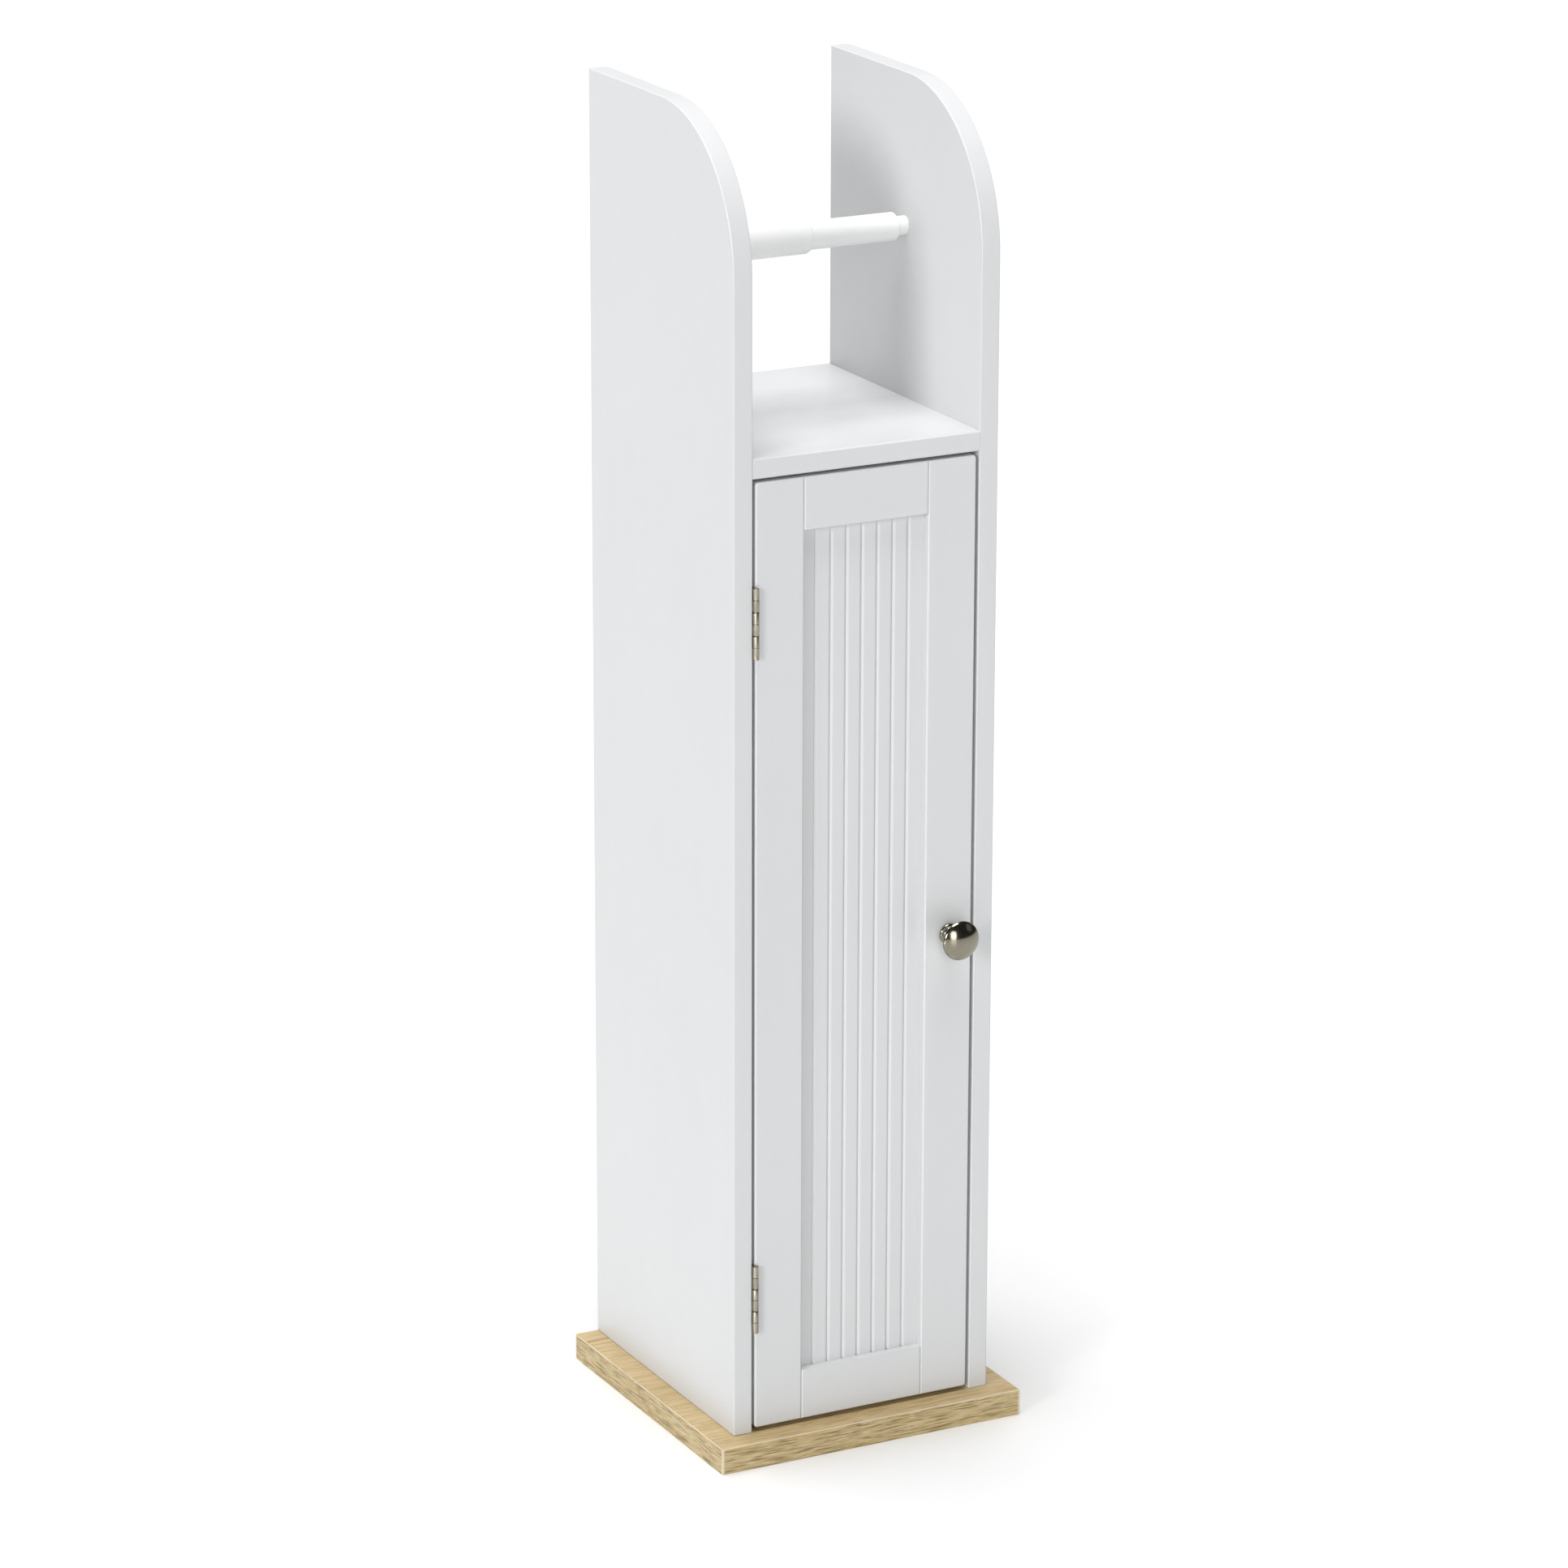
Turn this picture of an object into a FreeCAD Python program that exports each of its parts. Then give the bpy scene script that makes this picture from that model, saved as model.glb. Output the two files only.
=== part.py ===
"""Narrow bathroom cabinet: roll bay with a spring roller above, cupboard with a slatted door below.

The origin is the centre of the footprint, on the floor. X runs to the right as seen from the front,
Y runs from the front towards the wall, and Z runs up. Every size is in millimetres.
"""
import FreeCAD, Part
import math
import os

import Sketcher

SIZES = {
    # Whole cabinet
    "total_height": 800.0,
    "footprint_width": 200.0,
    "footprint_depth": 200.0,
    # Boards and their joints
    "base_thickness": 16.0,
    "edge_band_thickness": 0.8,
    "board_thickness": 12.0,
    "board_edge_bevel": 0.9,
    "screw_slack": 0.05,
    "board_slack": 0.1,
    # Side panels and the shelf between them
    "inner_width": 146.0,
    "carcass_depth": 185.0,
    "panel_corner_radius": 90.0,
    "cupboard_height": 580.0,
    # Thin back board, held in grooves
    "back_thickness": 3.0,
    "back_inset": 8.0,
    "back_groove_depth": 4.0,
    # Wooden dowel and cam fitting at each end of the roll shelf
    "fitting_spacing": 96.0,
    "dowel_radius": 3.0,
    "dowel_length": 25.0,
    "dowel_in_panel": 8.0,
    "cam_reach": 24.0,
    "cam_radius": 6.0,
    "cam_height": 9.4,
    "cam_drive_width": 1.4,
    "cam_drive_length": 7.0,
    "cam_drive_depth": 1.6,
    "cam_bolt_radius": 2.4,
    "cam_bolt_neck_radius": 1.4,
    "cam_bolt_head_length": 3.0,
    "cam_bolt_in_panel": 8.5,
    # Long screws through the base board into the side panels
    "base_screw_radius": 2.0,
    "base_screw_head_drop": 2.0,
    "base_screw_head_recess": 0.5,
    "base_screw_length": 42.0,
    "base_screw_spacing": 116.0,
    # Loose shelf in the cupboard, and its pins
    "pin_radius": 2.5,
    "pin_in_panel": 8.0,
    "pin_reach": 8.0,
    "pin_spacing": 96.0,
    "inner_shelf_setback": 26.0,
    "inner_shelf_back_gap": 1.0,
    "inner_shelf_end_gap": 0.8,
    # Door frame
    "door_gap": 2.0,
    "door_bottom_gap": 2.5,
    "door_thickness": 15.0,
    "door_frame_width": 31.0,
    "door_edge_bevel": 0.8,
    "door_corner_round": 2.0,
    "door_joint_chamfer": 0.8,
    # Slatted panel, let into the frame
    "slat_panel_thickness": 5.0,
    "slat_panel_setback": 5.5,
    "slat_panel_tongue": 6.0,
    "slat_count": 8,
    "slat_groove_width": 2.6,
    "slat_groove_depth": 0.9,
    # Butt hinges
    "hinge_end_distance": 82.0,
    "hinge_axis_inset": 0.4,
    "hinge_axis_proud": 1.2,
    "knuckle_count": 6,
    "knuckle_pitch": 7.0,
    "knuckle_gap": 0.3,
    "knuckle_radius": 1.8,
    "hinge_pin_radius": 0.9,
    "hinge_pin_slack": 0.05,
    "leaf_thickness": 0.8,
    "leaf_reach": 13.0,
    "leaf_corner_bevel": 1.2,
    "leaf_swing_gap": 0.4,
    "leaf_screw_setback": 7.6,
    "leaf_screw_spacing": 26.0,
    "leaf_screw_radius": 1.25,
    "leaf_screw_length": 8.7,
    "barrel_notch_radius": 3.0,
    "barrel_notch_margin": 1.0,
    # Round knob and its screw
    "knob_height": 307.5,
    "knob_length": 21.0,
    "knob_foot_radius": 6.0,
    "knob_foot_height": 3.0,
    "knob_ring_radius": 5.5,
    "knob_ring_height": 2.6,
    "knob_bead_bevel": 0.9,
    "knob_neck_radius": 4.2,
    "knob_neck_length": 2.6,
    "knob_head_radius": 11.9,
    "knob_rim_width": 1.2,
    "knob_dome_rise": 5.4,
    "knob_screw_radius": 2.0,
    "knob_screw_depth": 9.0,
    "knob_screw_head_radius": 3.8,
    "knob_screw_head_height": 2.4,
    # Magnetic catch under the roll shelf
    "catch_offset": 34.0,
    "catch_width": 44.0,
    "catch_depth": 14.0,
    "catch_height": 12.0,
    "catch_block_width": 24.0,
    "catch_ear_thickness": 3.0,
    "catch_edge_bevel": 1.0,
    "magnet_width": 18.0,
    "magnet_height": 5.0,
    "magnet_depth": 10.0,
    "pole_plate_thickness": 1.2,
    "pole_plate_proud": 0.6,
    "strike_gap": 0.3,
    "strike_width": 36.0,
    "strike_height": 9.0,
    "strike_thickness": 1.2,
    "small_screw_radius": 1.4,
    "small_screw_length": 9.0,
    "small_screw_head_radius": 2.8,
    "small_screw_head_height": 1.6,
    # Telescoping roller
    "roller_offset": 6.0,
    "roller_end_gap": 0.4,
    "sleeve_radius": 10.5,
    "sleeve_length": 81.4,
    "sleeve_wall": 2.0,
    "sleeve_lip_length": 2.2,
    "sleeve_lip_drop": 1.0,
    "tube_slack": 0.1,
    "tube_wall": 1.5,
    "tube_overlap": 36.0,
    "tube_shoulder_gap": 8.6,
    "nub_radius": 5.75,
    "nub_reach": 5.7,
    "nub_bevel": 2.0,
    "socket_slack": 0.1,
    "socket_end_gap": 0.3,
    "spring_radius": 5.5,
    "spring_wire": 0.9,
    "spring_end_gap": 0.2,
}

# Faces and edges closer than this count as lying on the same plane
NEAR = 0.001


def around(middle, spacing):
    """Return the two places that lie half a spacing to each side of the middle."""
    return [f"{middle} - {spacing} / 2", f"{middle} + {spacing} / 2"]


def both_sides(distance):
    """Return the two places at a distance to the left and right of the middle."""
    return [f"-{distance}", distance]


# Lines and planes of the whole cabinet, as expressions on the sheet
FRONT = "(Sizes.footprint_depth / 2 - Sizes.carcass_depth)"
BACK = "(Sizes.footprint_depth / 2)"
MIDDLE = "(Sizes.footprint_depth / 2 - Sizes.carcass_depth / 2)"
INSIDE = "(Sizes.inner_width / 2)"
SHELF_UNDER = "(Sizes.base_thickness + Sizes.cupboard_height)"
SHELF_CORE = f"({SHELF_UNDER} + Sizes.board_thickness / 2)"
SHELF_TOP = f"({SHELF_UNDER} + Sizes.board_thickness)"
PANEL_CORE = f"({INSIDE} + Sizes.board_thickness / 2)"
PANEL_HEIGHT = "(Sizes.total_height - Sizes.base_thickness)"
DOWEL_BORE = "(Sizes.dowel_radius + Sizes.screw_slack)"
DOWEL_Y = f"({MIDDLE} - Sizes.fitting_spacing / 2)"
CAM_BOLT_BORE = "(Sizes.cam_bolt_radius + Sizes.screw_slack)"
CAM_X = f"({INSIDE} - Sizes.cam_reach)"
CAM_Y = f"({MIDDLE} + Sizes.fitting_spacing / 2)"
SCREW_SEAT = "(Sizes.base_screw_head_recess + Sizes.base_screw_head_drop)"
SCREW_COLUMNS = both_sides(PANEL_CORE)
SCREW_ROWS = around(MIDDLE, "Sizes.base_screw_spacing")
BACK_FACE = f"({BACK} - Sizes.back_inset)"
BACK_FRONT = f"({BACK_FACE} - Sizes.back_thickness)"

DOOR_SIDE = f"({INSIDE} - Sizes.door_gap)"
DOOR_BOTTOM = "(Sizes.base_thickness + Sizes.door_bottom_gap)"
DOOR_HEIGHT = "(Sizes.cupboard_height - Sizes.door_bottom_gap - Sizes.door_gap)"
DOOR_CORE = f"({DOOR_BOTTOM} + {DOOR_HEIGHT} / 2)"
DOOR_BACK = f"({FRONT} + Sizes.door_thickness)"
FIELD_HALF = f"({DOOR_SIDE} - Sizes.door_frame_width)"
FIELD_HEIGHT = f"({DOOR_HEIGHT} - 2 * Sizes.door_frame_width)"
TONGUE_DEPTH = "(Sizes.slat_panel_tongue - Sizes.board_slack)"
TONGUE_FRONT = "Sizes.slat_panel_setback"
TONGUE_BACK = "(Sizes.slat_panel_setback + Sizes.slat_panel_thickness)"

HINGE_AXIS_X = f"(-{DOOR_SIDE} - Sizes.hinge_axis_inset)"
HINGE_AXIS_Y = f"({FRONT} - Sizes.hinge_axis_proud)"
HINGE_LENGTH = "(Sizes.knuckle_count * Sizes.knuckle_pitch)"
HINGE_SPREAD = f"({DOOR_HEIGHT} - 2 * Sizes.hinge_end_distance)"
HINGE_SCREW_Y = f"({HINGE_AXIS_Y} + Sizes.leaf_screw_setback)"

KNOB_X = f"({DOOR_SIDE} - Sizes.door_frame_width / 2)"
KNOB_SCREW_BORE = "(Sizes.knob_screw_radius + Sizes.screw_slack)"

PIN_HEIGHT = "(Sizes.base_thickness + Sizes.cupboard_height / 2)"
INNER_SHELF_FRONT = f"({FRONT} + Sizes.inner_shelf_setback)"
INNER_SHELF_BACK = f"({BACK_FRONT} - Sizes.inner_shelf_back_gap)"
PIN_ROWS = around(f"(({INNER_SHELF_FRONT} + {INNER_SHELF_BACK}) / 2)", "Sizes.pin_spacing")

CATCH_FACE = f"({DOOR_BACK} + Sizes.strike_thickness + Sizes.strike_gap + Sizes.pole_plate_proud)"
CATCH_CORE = f"({SHELF_UNDER} - Sizes.catch_height / 2)"
CATCH_SCREW_OFFSET = "((Sizes.catch_width + Sizes.catch_block_width) / 4)"
CATCH_SCREW_COLUMNS = around("Sizes.catch_offset", f"2 * {CATCH_SCREW_OFFSET}")
CATCH_SCREW_ROW = f"({CATCH_FACE} + Sizes.catch_depth / 2)"
CATCH_STACK = "(Sizes.magnet_height / 2 + Sizes.pole_plate_thickness)"
STRIKE_SCREW_DEPTH = "(Sizes.small_screw_length - Sizes.strike_thickness + Sizes.board_slack)"

ROLLER_HEIGHT = f"(({SHELF_TOP} + Sizes.total_height) / 2 + Sizes.roller_offset)"
SLEEVE_START = f"(Sizes.roller_end_gap - {INSIDE})"
SLEEVE_END = f"({SLEEVE_START} + Sizes.sleeve_length)"
SLEEVE_BORE = "(Sizes.sleeve_radius - Sizes.sleeve_wall)"
TUBE_RADIUS = f"({SLEEVE_BORE} - Sizes.tube_slack)"
TUBE_BORE = f"({TUBE_RADIUS} - Sizes.tube_wall)"
TUBE_START = f"({SLEEVE_END} - Sizes.tube_overlap)"
TUBE_SHOULDER = f"({INSIDE} - Sizes.tube_shoulder_gap)"
NUB_STEP = f"({TUBE_RADIUS} - Sizes.nub_radius)"
NUB_END = f"({INSIDE} + Sizes.nub_reach)"
SPRING_START = f"({SLEEVE_START} + Sizes.sleeve_wall + Sizes.spring_end_gap)"
SPRING_END = f"({TUBE_SHOULDER} - Sizes.tube_wall - Sizes.spring_end_gap)"

CLOCKWISE = -1
ANTICLOCKWISE = 1

# Flats round each small fastener and its bore, which repeat too often to be drawn fully round
FLAT_COUNT = 12
# Half angle of a countersunk head
HEAD_SLOPE = 45

DOC = FreeCAD.newDocument("NarrowCabinet")


def add_sheet():
    """Return the spreadsheet that holds every driving size under its own alias."""
    sheet = DOC.addObject("Spreadsheet::Sheet", "Sizes")
    for row, (alias, number) in enumerate(SIZES.items(), 1):
        sheet.set(f"A{row}", alias)
        sheet.set(f"B{row}", str(number))
        sheet.setAlias(f"B{row}", alias)
    DOC.recompute()
    return sheet


SHEET = add_sheet()


def value(expression):
    """Return the number that an expression has with the sheet's present sizes."""
    return float(SHEET.evalExpression(expression))


def bind(item, setting, expression):
    """Tie one setting of a document object to an expression on the sheet."""
    if expression != "0":
        item.setExpression(setting, expression)


def add_body(label, x="0", y="0", z="0"):
    """Return a new body, named as its piece, whose own origin lies at the given place."""
    body = DOC.addObject("PartDesign::Body", label)
    body.Label = label
    for axis, place in zip("xyz", (x, y, z)):
        bind(body, f"Placement.Base.{axis}", place)
    return body


def own_datum(body, role):
    """Return one of the body's own origin planes or axes."""
    return next(datum for datum in body.Origin.OriginFeatures if datum.Role == role)


def held_radius(geometry, expression):
    """Return the constraint on a curve's radius, with its expression."""
    return Sketcher.Constraint("Radius", geometry, value(expression)), expression


def held_point(geometry, point, x, y):
    """Return the two constraints on a point's place, each with its expression."""
    held = []
    for kind, place in (("DistanceX", x), ("DistanceY", y)):
        held.append((Sketcher.Constraint(kind, -1, 1, geometry, point, value(place)), place))
    return held


class Outline:
    """A sketch on one of its body's own planes, with every point held by expressions."""

    def __init__(self, body, name, plane, lift="0"):
        self.sketch = body.newObject("Sketcher::SketchObject", name)
        self.sketch.AttachmentSupport = (own_datum(body, plane), [""])
        self.sketch.MapMode = "FlatFace"
        bind(self.sketch, "AttachmentOffset.Base.z", lift)

    def hold(self, held):
        """Add constraints all at once; each comes with the expression that drives it."""
        indices = self.sketch.addConstraint([constraint for constraint, _ in held])
        for index, (_, expression) in zip(indices, held):
            bind(self.sketch, f"Constraints[{index}]", expression)

    def circle(self, x, y, radius):
        """Draw one circle."""
        centre = FreeCAD.Vector(value(x), value(y), 0)
        geometry = self.sketch.addGeometry(Part.Circle(centre, FreeCAD.Vector(0, 0, 1), value(radius)))
        self.hold([held_radius(geometry, radius), *held_point(geometry, 3, x, y)])
        return self

    def many_sided(self, columns, rows, radius):
        """Draw small rounds, as flats that touch the circle, at every crossing of columns and rows."""
        reach = f"({radius}) / cos({180 / FLAT_COUNT} deg)"
        turns = [f"({360 * (number + 0.5) / FLAT_COUNT} deg)" for number in range(FLAT_COUNT)]
        offsets = [(f"{reach} * cos({turn})", f"{reach} * sin({turn})") for turn in turns]
        for x in columns:
            for y in rows:
                self.path(*[(f"{x} + {across}", f"{y} + {up}") for across, up in offsets])
        return self

    def path(self, *corners):
        """Draw a closed outline through the corners.

        A corner is (x, y), or (x, y, radius, turn) where an arc leaves it for the next corner.
        """
        points = [FreeCAD.Vector(value(corner[0]), value(corner[1]), 0) for corner in corners]
        ends = []
        held = []
        for index, corner in enumerate(corners):
            start = points[index]
            end = points[(index + 1) % len(points)]
            if len(corner) == 2:
                geometry = self.sketch.addGeometry(Part.LineSegment(start, end))
                ends.append((geometry, 1, 2))
            else:
                ends.append(self.arc(start, end, *corner[2:]))
                held.append(held_radius(ends[-1][0], corner[2]))
        for index, (geometry, first, last) in enumerate(ends):
            following, start, end = ends[(index + 1) % len(ends)]
            held.append((Sketcher.Constraint("Coincident", geometry, last, following, start), "0"))
            held += held_point(geometry, first, *corners[index][:2])
        self.hold(held)
        return self

    def arc(self, start, end, radius, turn):
        """Draw an arc of under half a circle and return it with its first and last point."""
        reach = value(radius)
        chord = end - start
        rise = math.sqrt(max(reach ** 2 - chord.Length ** 2 / 4, 0))
        left = FreeCAD.Vector(-chord.y, chord.x, 0).normalize()
        centre = (start + end) / 2 + left * rise * turn
        first, last = (start, end) if turn == ANTICLOCKWISE else (end, start)
        circle = Part.Circle(centre, FreeCAD.Vector(0, 0, 1), reach)
        angles = [math.atan2(point.y - centre.y, point.x - centre.x) for point in (first, last)]
        geometry = self.sketch.addGeometry(Part.ArcOfCircle(circle, *angles))
        return (geometry, 1, 2) if turn == ANTICLOCKWISE else (geometry, 2, 1)

    def rectangle(self, left, right, low, high):
        """Draw an upright rectangle."""
        return self.path((left, low), (right, low), (right, high), (left, high))


def pad(body, name, outline, length, backwards=False, slope=0):
    """Raise an outline into a solid along the sketch's normal or backwards, widening at the slope."""
    feature = body.newObject("PartDesign::Pad", name)
    feature.Profile = outline.sketch
    feature.Reversed = backwards
    feature.TaperAngle = slope
    bind(feature, "Length", length)
    DOC.recompute()
    return feature


def pocket(body, name, outline, depth=None, backwards=False, slope=0):
    """Cut an outline out of the body, against the sketch's normal or backwards, widening at the slope."""
    before = body.Shape.Volume
    feature = body.newObject("PartDesign::Pocket", name)
    feature.Profile = outline.sketch
    feature.Reversed = backwards
    feature.TaperAngle = slope
    if depth is None:
        feature.Type = "ThroughAll"
    else:
        bind(feature, "Length", depth)
    DOC.recompute()
    if body.Shape.Volume >= before:
        raise ValueError(f"{body.Label}: {name} cuts nothing")
    return feature


def turned(body, name, outline, axis):
    """Turn an outline once round an axis of its sketch."""
    feature = body.newObject("PartDesign::Revolution", name)
    feature.Profile = outline.sketch
    feature.ReferenceAxis = (outline.sketch, [axis])
    feature.Angle = 360
    DOC.recompute()
    return feature


def edges_where(shape, test):
    """Return the names of a shape's edges whose bounding box passes the test."""
    return [f"Edge{number}" for number, edge in enumerate(shape.Edges, 1) if test(edge.BoundBox)]


def fillet(body, name, test, radius):
    """Round the edges of the body's last feature that pass the test."""
    base = body.Tip
    feature = body.newObject("PartDesign::Fillet", name)
    feature.Base = (base, edges_where(base.Shape, test))
    bind(feature, "Radius", radius)
    DOC.recompute()
    return feature


def chamfer(body, name, test, size):
    """Bevel the edges of the body's last feature that pass the test."""
    base = body.Tip
    feature = body.newObject("PartDesign::Chamfer", name)
    feature.Base = (base, edges_where(base.Shape, test))
    bind(feature, "Size", size)
    DOC.recompute()
    return feature


def mirrored(body, originals, role):
    """Copy features across one of the body's own planes."""
    feature = body.newObject("PartDesign::Mirrored", "Mirror")
    feature.Originals = originals
    feature.MirrorPlane = (own_datum(body, role), [""])
    body.Tip = feature
    DOC.recompute()
    return feature


def row_of(body, name, originals, role, count, length):
    """Repeat features evenly along one of the body's own axes."""
    feature = body.newObject("PartDesign::LinearPattern", name)
    feature.Originals = originals
    feature.Direction = (own_datum(body, role), [""])
    bind(feature, "Occurrences", count)
    bind(feature, "Length", length)
    body.Tip = feature
    DOC.recompute()
    return feature


# Base board with its edge bands

def base_board():
    """Flat board that carries the side panels and closes the cupboard's floor."""
    body = add_body("base_board")
    half_width = "(Sizes.footprint_width / 2 - Sizes.edge_band_thickness)"
    half_depth = "(Sizes.footprint_depth / 2 - Sizes.edge_band_thickness)"
    board = Outline(body, "BoardOutline", "XY_Plane")
    board.rectangle(f"-{half_width}", half_width, f"-{half_depth}", half_depth)
    pad(body, "Board", board, "Sizes.base_thickness")
    screws = Outline(body, "ScrewBores", "XY_Plane", SCREW_SEAT)
    screws.many_sided(SCREW_COLUMNS, SCREW_ROWS, "Sizes.base_screw_radius + Sizes.screw_slack")
    pocket(body, "ShankBores", screws, backwards=True)
    pocket(body, "Countersinks", screws, SCREW_SEAT, slope=HEAD_SLOPE)


def edge_bands():
    """Thin strips on the four edges of the base board; the side strips end at the other two."""
    half_width = "Sizes.footprint_width / 2"
    half_depth = "Sizes.footprint_depth / 2"
    inner_width = f"({half_width} - Sizes.edge_band_thickness)"
    inner_depth = f"({half_depth} - Sizes.edge_band_thickness)"
    strips = {
        "front": (f"-{half_width}", half_width, f"-{half_depth}", f"-{inner_depth}"),
        "back": (f"-{half_width}", half_width, inner_depth, half_depth),
        "left": (f"-{half_width}", f"-{inner_width}", f"-{inner_depth}", inner_depth),
        "right": (inner_width, half_width, f"-{inner_depth}", inner_depth),
    }
    for side, edges in strips.items():
        body = add_body(f"base_edge_band_{side}")
        strip = Outline(body, "StripOutline", "XY_Plane").rectangle(*edges)
        pad(body, "Strip", strip, "Sizes.base_thickness")


def base_screws():
    """Four countersunk screws, up through the base board into the side panels."""
    body = add_body("base_screws")
    outline = Outline(body, "ScrewOutlines", "XY_Plane", SCREW_SEAT)
    outline.many_sided(SCREW_COLUMNS, SCREW_ROWS, "Sizes.base_screw_radius")
    pad(body, "Shanks", outline, "Sizes.base_screw_length")
    pad(body, "Heads", outline, "Sizes.base_screw_head_drop", backwards=True, slope=HEAD_SLOPE)


# Side panels, roll shelf and what joins them

def side_panel(label, side):
    """Upright board with a large arc at its top front corner; side is -1 for left, 1 for right."""
    is_left = side < 0
    body = add_body(label, x=f"{side} * {INSIDE}", z="Sizes.base_thickness")
    board = Outline(body, "BoardOutline", "YZ_Plane").rectangle(FRONT, BACK, "0", PANEL_HEIGHT)
    pad(body, "Board", board, "Sizes.board_thickness", backwards=is_left)
    front = value(FRONT)
    back = value(BACK)
    top = value(PANEL_HEIGHT)
    fillet(
        body, "FrontCorner",
        lambda box: box.YMax < front + NEAR and box.ZMin > top - NEAR,
        "Sizes.panel_corner_radius",
    )
    chamfer(
        body, "EdgeBevel",
        lambda box: box.XLength < NEAR and box.ZMax > NEAR and box.YMin < back - NEAR,
        "Sizes.board_edge_bevel",
    )
    panel_bores(body, is_left)
    panel_foot_bores(body, side)
    if is_left:
        radius = "Sizes.leaf_screw_radius + Sizes.screw_slack"
        screws = Outline(body, "HingeScrewBores", "YZ_Plane")
        screws.many_sided([HINGE_SCREW_Y], hinge_screw_heights("Sizes.base_thickness"), radius)
        pocket(body, "HingeScrewHoles", screws, "Sizes.leaf_screw_length + Sizes.board_slack")


def panel_bores(body, is_left):
    """Cut the groove, the socket and the holes in a side panel's inner face."""
    floor = "Sizes.base_thickness"
    shelf = f"({SHELF_CORE} - {floor})"
    groove = Outline(body, "GrooveOutline", "YZ_Plane")
    groove.rectangle(
        f"{BACK_FRONT} - Sizes.board_slack",
        f"{BACK_FACE} + Sizes.board_slack",
        "0",
        "Sizes.cupboard_height + Sizes.back_groove_depth",
    )
    pocket(body, "BackGroove", groove, "Sizes.back_groove_depth", backwards=not is_left)
    socket = Outline(body, "SocketCircle", "YZ_Plane")
    socket.circle(MIDDLE, f"{ROLLER_HEIGHT} - {floor}", "Sizes.nub_radius + Sizes.socket_slack")
    pocket(body, "RollerSocket", socket, "Sizes.nub_reach + Sizes.socket_end_gap", backwards=not is_left)
    dowel = Outline(body, "DowelBore", "YZ_Plane").many_sided([DOWEL_Y], [shelf], DOWEL_BORE)
    pocket(body, "DowelHole", dowel, "Sizes.dowel_in_panel + Sizes.board_slack", backwards=not is_left)
    bolt = Outline(body, "CamBoltBore", "YZ_Plane").many_sided([CAM_Y], [shelf], CAM_BOLT_BORE)
    pocket(body, "CamBoltHole", bolt, "Sizes.cam_bolt_in_panel + Sizes.board_slack", backwards=not is_left)
    pins = Outline(body, "PinBores", "YZ_Plane")
    pins.many_sided(PIN_ROWS, [f"{PIN_HEIGHT} - {floor}"], "Sizes.pin_radius + Sizes.screw_slack")
    pocket(body, "PinHoles", pins, "Sizes.pin_in_panel + Sizes.board_slack", backwards=not is_left)


def panel_foot_bores(body, side):
    """Cut the screw holes in a side panel's lower edge."""
    screws = Outline(body, "FootScrewBores", "XY_Plane")
    radius = "Sizes.base_screw_radius + Sizes.screw_slack"
    screws.many_sided([f"{side} * Sizes.board_thickness / 2"], SCREW_ROWS, radius)
    depth = f"{SCREW_SEAT} + Sizes.base_screw_length - Sizes.base_thickness + Sizes.board_slack"
    pocket(body, "FootScrewHoles", screws, depth, backwards=True)


def roll_shelf():
    """Fixed shelf between the side panels; it closes the cupboard and floors the roll bay."""
    body = add_body("roll_shelf", z=SHELF_UNDER)
    board = Outline(body, "BoardOutline", "XY_Plane").rectangle(f"-{INSIDE}", INSIDE, FRONT, BACK)
    pad(body, "Board", board, "Sizes.board_thickness")
    front = value(FRONT)
    chamfer(
        body, "FrontBevel",
        lambda box: box.YMax < front + NEAR and box.ZLength < NEAR,
        "Sizes.board_edge_bevel",
    )
    groove = Outline(body, "GrooveOutline", "XY_Plane")
    groove.rectangle(
        f"-{INSIDE}", INSIDE, f"{BACK_FRONT} - Sizes.board_slack", f"{BACK_FACE} + Sizes.board_slack"
    )
    pocket(body, "BackGroove", groove, "Sizes.back_groove_depth", backwards=True)
    cams = Outline(body, "CamOutlines", "XY_Plane")
    cams.many_sided(both_sides(CAM_X), [CAM_Y], "Sizes.cam_radius + Sizes.screw_slack")
    pocket(body, "CamBores", cams, "Sizes.cam_height + Sizes.board_slack", backwards=True)
    for side, lift in (("Left", f"-{INSIDE}"), ("Right", INSIDE)):
        shelf_end_bores(body, side, lift)
    screws = Outline(body, "CatchScrewBores", "XY_Plane")
    screws.many_sided(CATCH_SCREW_COLUMNS, [CATCH_SCREW_ROW], "Sizes.small_screw_radius + Sizes.screw_slack")
    screw_depth = "Sizes.small_screw_length - Sizes.catch_ear_thickness + Sizes.board_slack"
    pocket(body, "CatchScrewHoles", screws, screw_depth, backwards=True)


def shelf_end_bores(body, side, lift):
    """Bore one end of the roll shelf for its cam bolt and dowel."""
    is_left = side == "Left"
    core = "Sizes.board_thickness / 2"
    bolt = Outline(body, f"{side}BoltOutline", "YZ_Plane", lift).many_sided([CAM_Y], [core], CAM_BOLT_BORE)
    pocket(body, f"{side}BoltBore", bolt, "Sizes.cam_reach", backwards=is_left)
    dowel = Outline(body, f"{side}DowelOutline", "YZ_Plane", lift).many_sided([DOWEL_Y], [core], DOWEL_BORE)
    depth = "Sizes.dowel_length - Sizes.dowel_in_panel + Sizes.board_slack"
    pocket(body, f"{side}DowelBore", dowel, depth, backwards=is_left)


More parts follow.
